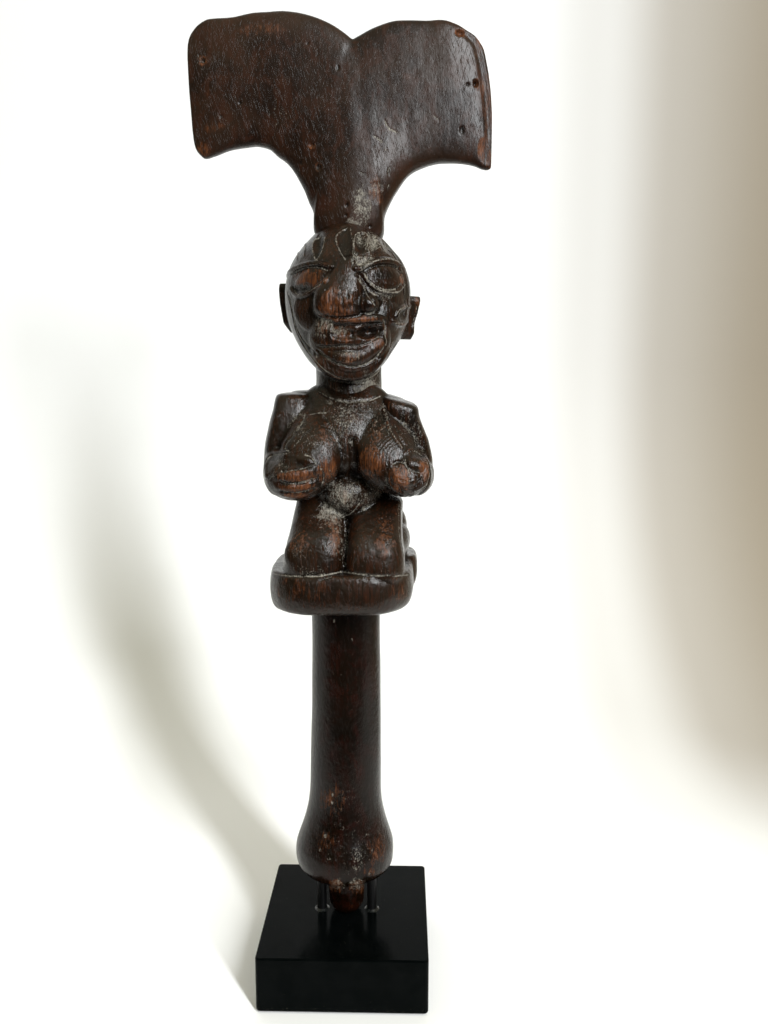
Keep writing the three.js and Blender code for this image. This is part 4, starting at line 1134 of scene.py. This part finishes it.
# %% Patina, bare fibres and dust
def wood(name, dark, brown, red, gloss, rough, grainy, scratched, streaky=1.0, rings=()):
    """Three colours of the patina, its gloss and roughness, the heights of grain and scratches, how much
    of the grain shows as streaks, and places with rings of fine tool marks between two radii."""
    finish = Finish(name, Specular_IOR_Level=gloss)
    mottle = finish.noise((0.045, 0.045, 0.035), 4, 0.6)
    patches = finish.noise((0.16, 0.16, 0.11), 4, 0.65, 0.8)
    streak = finish.noise((1, 1, 0.06), 3, 0.6)
    fibre = finish.noise((2.6, 2.6, 0.22), 2, 0.6)
    crumbs = finish.noise((1.1, 1.1, 0.8), 3, 0.7)
    peel = finish.noise((0.5, 0.5, 0.38), 2, 0.5)
    flecks = finish.noise((2.4, 2.4, 1.5), 2, 0.6)
    scratch = (finish.noise((4, 1, 0.2), 1, 0.4, 0.3, 18).step(0.6, 0.72)
               + finish.noise((3.4, 1, 0.25), 1, 0.4, 0.3, -14).step(0.62, 0.74))
    worn, dust_and_sheen, shaded_hollow, edge = (finish.mark(mark) for mark in MARKS)

    # where the wood is bare, and where dust lies or a highlight is painted
    bare = (worn * 1.05 + edge * 0.3 + (streak - 0.5) * 1.1 * streaky + (patches - 0.5) * 1.1
            + (crumbs - 0.5) * 0.6 - 0.34).step(0, 0.8)
    dusty_and_sheen = (dust_and_sheen * 1.05 + shaded_hollow * 0.2 + (crumbs - 0.5) * 1.2 + (flecks - 0.5) * 1.4
             + (peel - 0.5) * 0.8 - 0.4).step(0, 0.7)

    # patina, hollows darkened as painted shade, bare fibres, dust and painted highlights, pale crumbs, one over
    # the other
    colour = mottle.step(0.36, 0.64).blend(tone(*dark), tone(*brown))
    reddish = (streak * 0.6 * streaky + patches * (1 - 0.6 * streaky)).step(0.44, 0.62)
    colour = (reddish * 0.55).blend(colour, tone(*red))
    # Painted shade: hollows darkened nearly to black.
    colour = (shaded_hollow.step(0.3, 0.9) * 0.7).blend(colour, tone(8, 5, 3))
    bare_wood = (fibre * 0.6 + streak * 0.4).step(0.36, 0.66).blend(tone(34, 15, 6), tone(114, 66, 34))
    colour = bare.blend(colour, bare_wood)
    pale_dust_and_sheen = fibre.step(0.3, 0.7).blend(tone(100, 94, 84), tone(184, 178, 164))
    colour = (dusty_and_sheen * 0.8).blend(colour, pale_dust_and_sheen)
    (crumbs.step(0.7, 0.8) * 0.25).blend(colour, tone(126, 98, 66)).feed(finish.shader, "Base Color")
    (rough + patches * 0.12 + bare * 0.12 + dusty_and_sheen * 0.2 + crumbs * 0.05).feed(finish.shader, "Roughness")

    height = (streak * 0.16 * streaky + fibre * (grainy + bare * 0.4) + crumbs * (grainy + dusty_and_sheen * 0.3)
              + peel * (grainy * 3) - scratch * scratched)
    for centre, inner, outer in rings:
        gap = finish.gap(centre)
        wave = finish.value.sum("SINE", (gap + patches * 4) * 4.6)
        height = height + wave * (1 - gap.step(outer * 0.75, outer)) * gap.step(inner, inner + 1) * 0.14
    finish.bump(height, 0.3)
    return finish


rings = [(tuple(touch([body], *from_camera(across, down))[0]), inner, outer)
         for across, down, inner, outer in ((409, 462, 6.5, 17), (303, 466, 5, 12))]
WOODS = {
    blade: wood("patina_blade", (24, 12, 6), (42, 27, 17), (54, 27, 14), 0.27, 0.26, 0.1, 0.2, 0.4),
    head: wood("patina_head", (15, 8, 4), (32, 20, 11), (54, 26, 11), 0.32, 0.14, 0.28, 0.12),
    body: wood("patina_body", (16, 9, 4), (32, 21, 12), (52, 24, 9), 0.33, 0.14, 0.28, 0.12, 1, rings),
    grip: wood("patina_grip", (8, 4, 1), (17, 9, 4), (36, 12, 6), 0.18, 0.12, 0.2, 0.12, 0.5)}
for piece, finish in WOODS.items():
    finish.dress(piece)
    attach(piece, "wand")
    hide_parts("wand")
print(len(WOODS), "pieces of wood finished")

# %% [markdown]
# ## The stand
# A square wooden block in satin black paint, two black steel pins, a bead of clear glue round each pin
# and a felt pad below. The block and the pins keep the CAD part's sizes.

# %% Block
def copy_of(node, name):
    """A merged copy of a CAD node that stands for it."""
    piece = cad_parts[node].copy()
    piece.data = piece.data.copy()
    piece.name = name
    bpy.context.scene.collection.objects.link(piece)
    piece.hide_render = False
    piece.hide_set(False)
    with editing(piece):
        bpy.ops.mesh.remove_doubles(threshold=0.001 * MM)
    bpy.ops.object.shade_smooth_by_angle(angle=math.radians(35))
    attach(piece, "stand")
    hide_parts(node)
    return piece


block = copy_of("display_block", "painted_block")
activate(block)
bpy.ops.object.shade_flat()
paint = Finish("satin_black_paint", Specular_IOR_Level=0.028)
grain = paint.noise((0.12, 0.12, 0.12), 3)
specks = paint.noise((1.6, 1.6, 1.6), 2, 0.6)
lower = 1 - paint.value.make("SeparateXYZ", {0: paint.mm}, 2).step(1.5, 6)
flecks = specks.step(0.74, 0.78) + (lower * 0.12 + specks).step(0.74, 0.8)
paint_colour = grain.step(0.35, 0.65).blend(tone(3, 5, 5), tone(6, 8, 8))
(flecks * 0.3).blend(paint_colour, tone(120, 116, 104)).feed(paint.shader, "Base Color")
(0.12 + grain * 0.12).feed(paint.shader, "Roughness")
paint.bump(grain * 0.5 + specks * 0.08, 0.12)
paint.dress(block)

# %% Steel and glue
steel = Finish("black_steel", Metallic=0.4, Base_Color=tone(14, 14, 15))
(0.32 + steel.noise((0.9, 0.9, 0.2), 2) * 0.16).feed(steel.shader, "Roughness")
glue = Finish("clear_glue", Base_Color=tone(18, 20, 19))
(0.18 + glue.noise((1.2, 1.2, 1.2), 2) * 0.2).feed(glue.shader, "Roughness")
for side in ("left", "right"):
    pin = copy_of(f"{side}_pin", f"{side}_steel_pin")
    steel.dress(pin)
    bead = copy_of(f"{side}_pin_bead", f"{side}_glue_bead")
    glue.dress(bead)

# %% Felt pad
pad_low, pad_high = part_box("felt_pad")
pad_size = pad_high - pad_low
deselect()
bpy.ops.mesh.primitive_cube_add(size=1)
pad = bpy.context.object
pad.name = "felt_square"
lay(pad, (places_of(pad) * MM * np.array(pad_size) + np.array(pad_low + pad_high) / 2) / MM)
apply_modifier(pad, "BEVEL", width=0.25 * MM, segments=3)
bpy.ops.object.shade_smooth()
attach(pad, "stand")
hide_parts("felt_pad")
felt = Finish("black_felt", Roughness=0.95, Specular_IOR_Level=0.1)
fuzz = felt.noise((3, 3, 3), 3, 0.7)
fuzz.step(0.3, 0.7).blend(tone(14, 15, 14), tone(34, 36, 34)).feed(felt.shader, "Base Color")
felt.bump(fuzz, 0.2)
felt.dress(pad)

# %% [markdown]
# ## Floor, backdrop, lamps
# The wand stands on a roll of white paper that is bent up behind it. One edge of a plane is extruded
# upwards for the wall, and a bevel rounds the fold. One tall narrow lamp stands for the window at the
# right, and a weak sky fills the shadows. The room behind the camera is dark, which gives the dark
# wood its deep shadows and narrow highlights.

# %% Floor and backdrop in one sweep
PAPER_SIZE, PAPER_MIDDLE, WALL_HEIGHT, FOLD_RADIUS = 6, -2.55, 3, 0.3


def shape_edges(piece, wanted, operator, **settings):
    """Runs an edit-mode operator on the edges of which both ends are at wanted places."""
    activate(piece)
    bpy.ops.object.mode_set(mode="EDIT")
    bpy.ops.mesh.select_mode(type="EDGE")
    bpy.ops.mesh.select_all(action="DESELECT")
    bpy.ops.object.mode_set(mode="OBJECT")
    for edge in piece.data.edges:
        edge.select = all(wanted(piece.data.vertices[i].co) for i in edge.vertices)
    bpy.ops.object.mode_set(mode="EDIT")
    operator(**settings)
    bpy.ops.object.mode_set(mode="OBJECT")


deselect()
bpy.ops.mesh.primitive_plane_add(size=PAPER_SIZE, location=(0, PAPER_MIDDLE, 0))
sweep = bpy.context.object
sweep.name = "paper_sweep"
bpy.ops.object.transform_apply(location=True)
fold = PAPER_MIDDLE + PAPER_SIZE / 2
shape_edges(sweep, lambda place: place.y > fold - 0.05, bpy.ops.mesh.extrude_region_move,
            TRANSFORM_OT_translate={"value": (0, 0, WALL_HEIGHT)})
shape_edges(sweep, lambda place: place.y > fold - 0.05 and abs(place.z) < 1e-6, bpy.ops.mesh.bevel,
            offset=FOLD_RADIUS, segments=24, profile=0.5)
bpy.ops.object.shade_smooth()

# %% World and lamps
RAYS = ("Camera", "Glossy", "Transmission")
world = bpy.data.worlds.new("studio_world")
bpy.context.scene.world = world
world.use_nodes = True
sky = Value(world.node_tree)
background = world.node_tree.nodes["Background"]
upward, away = (sky.make("SeparateXYZ", {0: sky.make("TexCoord", {}, "Generated")}, i) for i in (2, 1))
camera_ray, glossy_ray, through_ray = (sky.make("LightPath", {}, f"Is {ray} Ray") for ray in RAYS)
shown = camera_ray + (glossy_ray + through_ray) * away.step(0, 0.4)
shown.blend((1, 0.95, 0.68, 1), (1, 1, 1, 1)).feed(background, "Color")
(0.08 + upward.step(0.2, 0.8) * 0.5 * (1 - shown) + shown * 0.92).feed(background, "Strength")
bpy.context.scene.view_settings.view_transform = "Standard"


lamp_place, lit_place = Vector((0.99, -1.62, 1.26)), Vector((0, 0, 0.15))
bpy.ops.object.light_add(type="AREA", location=lamp_place)
lamp = bpy.context.object
lamp.name = "window_lamp"
lamp.data.shape = "RECTANGLE"
lamp.data.size, lamp.data.size_y = 0.16, 1.5
lamp.data.energy = 67
lamp.data.color = (0.95, 0.98, 1)
lamp.rotation_euler = (lit_place - lamp_place).to_track_quat("-Z", "Y").to_euler()
print("lamp of", lamp.data.energy, "watts")

# %% [markdown]
# ## The paper
# The paper is white, with a beige shade painted at its right end where the light falls off. In front of
# the object it is dark to lamps and reflections, as the room was, while the camera sees it white. From
# behind, the camera sees through it.

# %% Paper of the sweep
paper = Finish("backdrop_paper", Roughness=0.9, Specular_IOR_Level=0.2)
x_mm, y_mm, z_mm = (paper.value.make("SeparateXYZ", {0: paper.mm}, i) for i in range(3))
# Painted shade: the paper turns beige towards the right, further back and higher up, where the lamp's light falls
# off.
across = x_mm.step(112, 200) * 0.37 + x_mm.step(205, 270) * 0.36 + x_mm.step(240, 380) * 0.25
painted_falloff_shade = across * (y_mm + z_mm + x_mm * 0.6).step(170, 430)
paper_with_painted_shade = painted_falloff_shade.blend(tone(252, 252, 252), tone(149, 138, 121))
camera_ray, glossy_ray, through_ray = (paper.value.make("LightPath", {}, f"Is {ray} Ray") for ray in RAYS)
shown = camera_ray + (glossy_ray + through_ray) * y_mm.step(-260, -140)
darkened = (1 - shown) * (1 - y_mm.step(-170, -50)) * 0.96
darkened.blend(paper_with_painted_shade, tone(12, 12, 12)).feed(paper.shader, "Base Color")
hole = paper.value.make("NewGeometry", {}, "Backfacing") * camera_ray
open_back = paper.value.make("MixShader", {
    0: hole, 1: Value(paper.tree, paper.shader.outputs["BSDF"]), 2: paper.value.make("BsdfTransparent", {})})
open_back.feed(paper.tree.nodes["Material Output"], "Surface")
paper.dress(sweep)
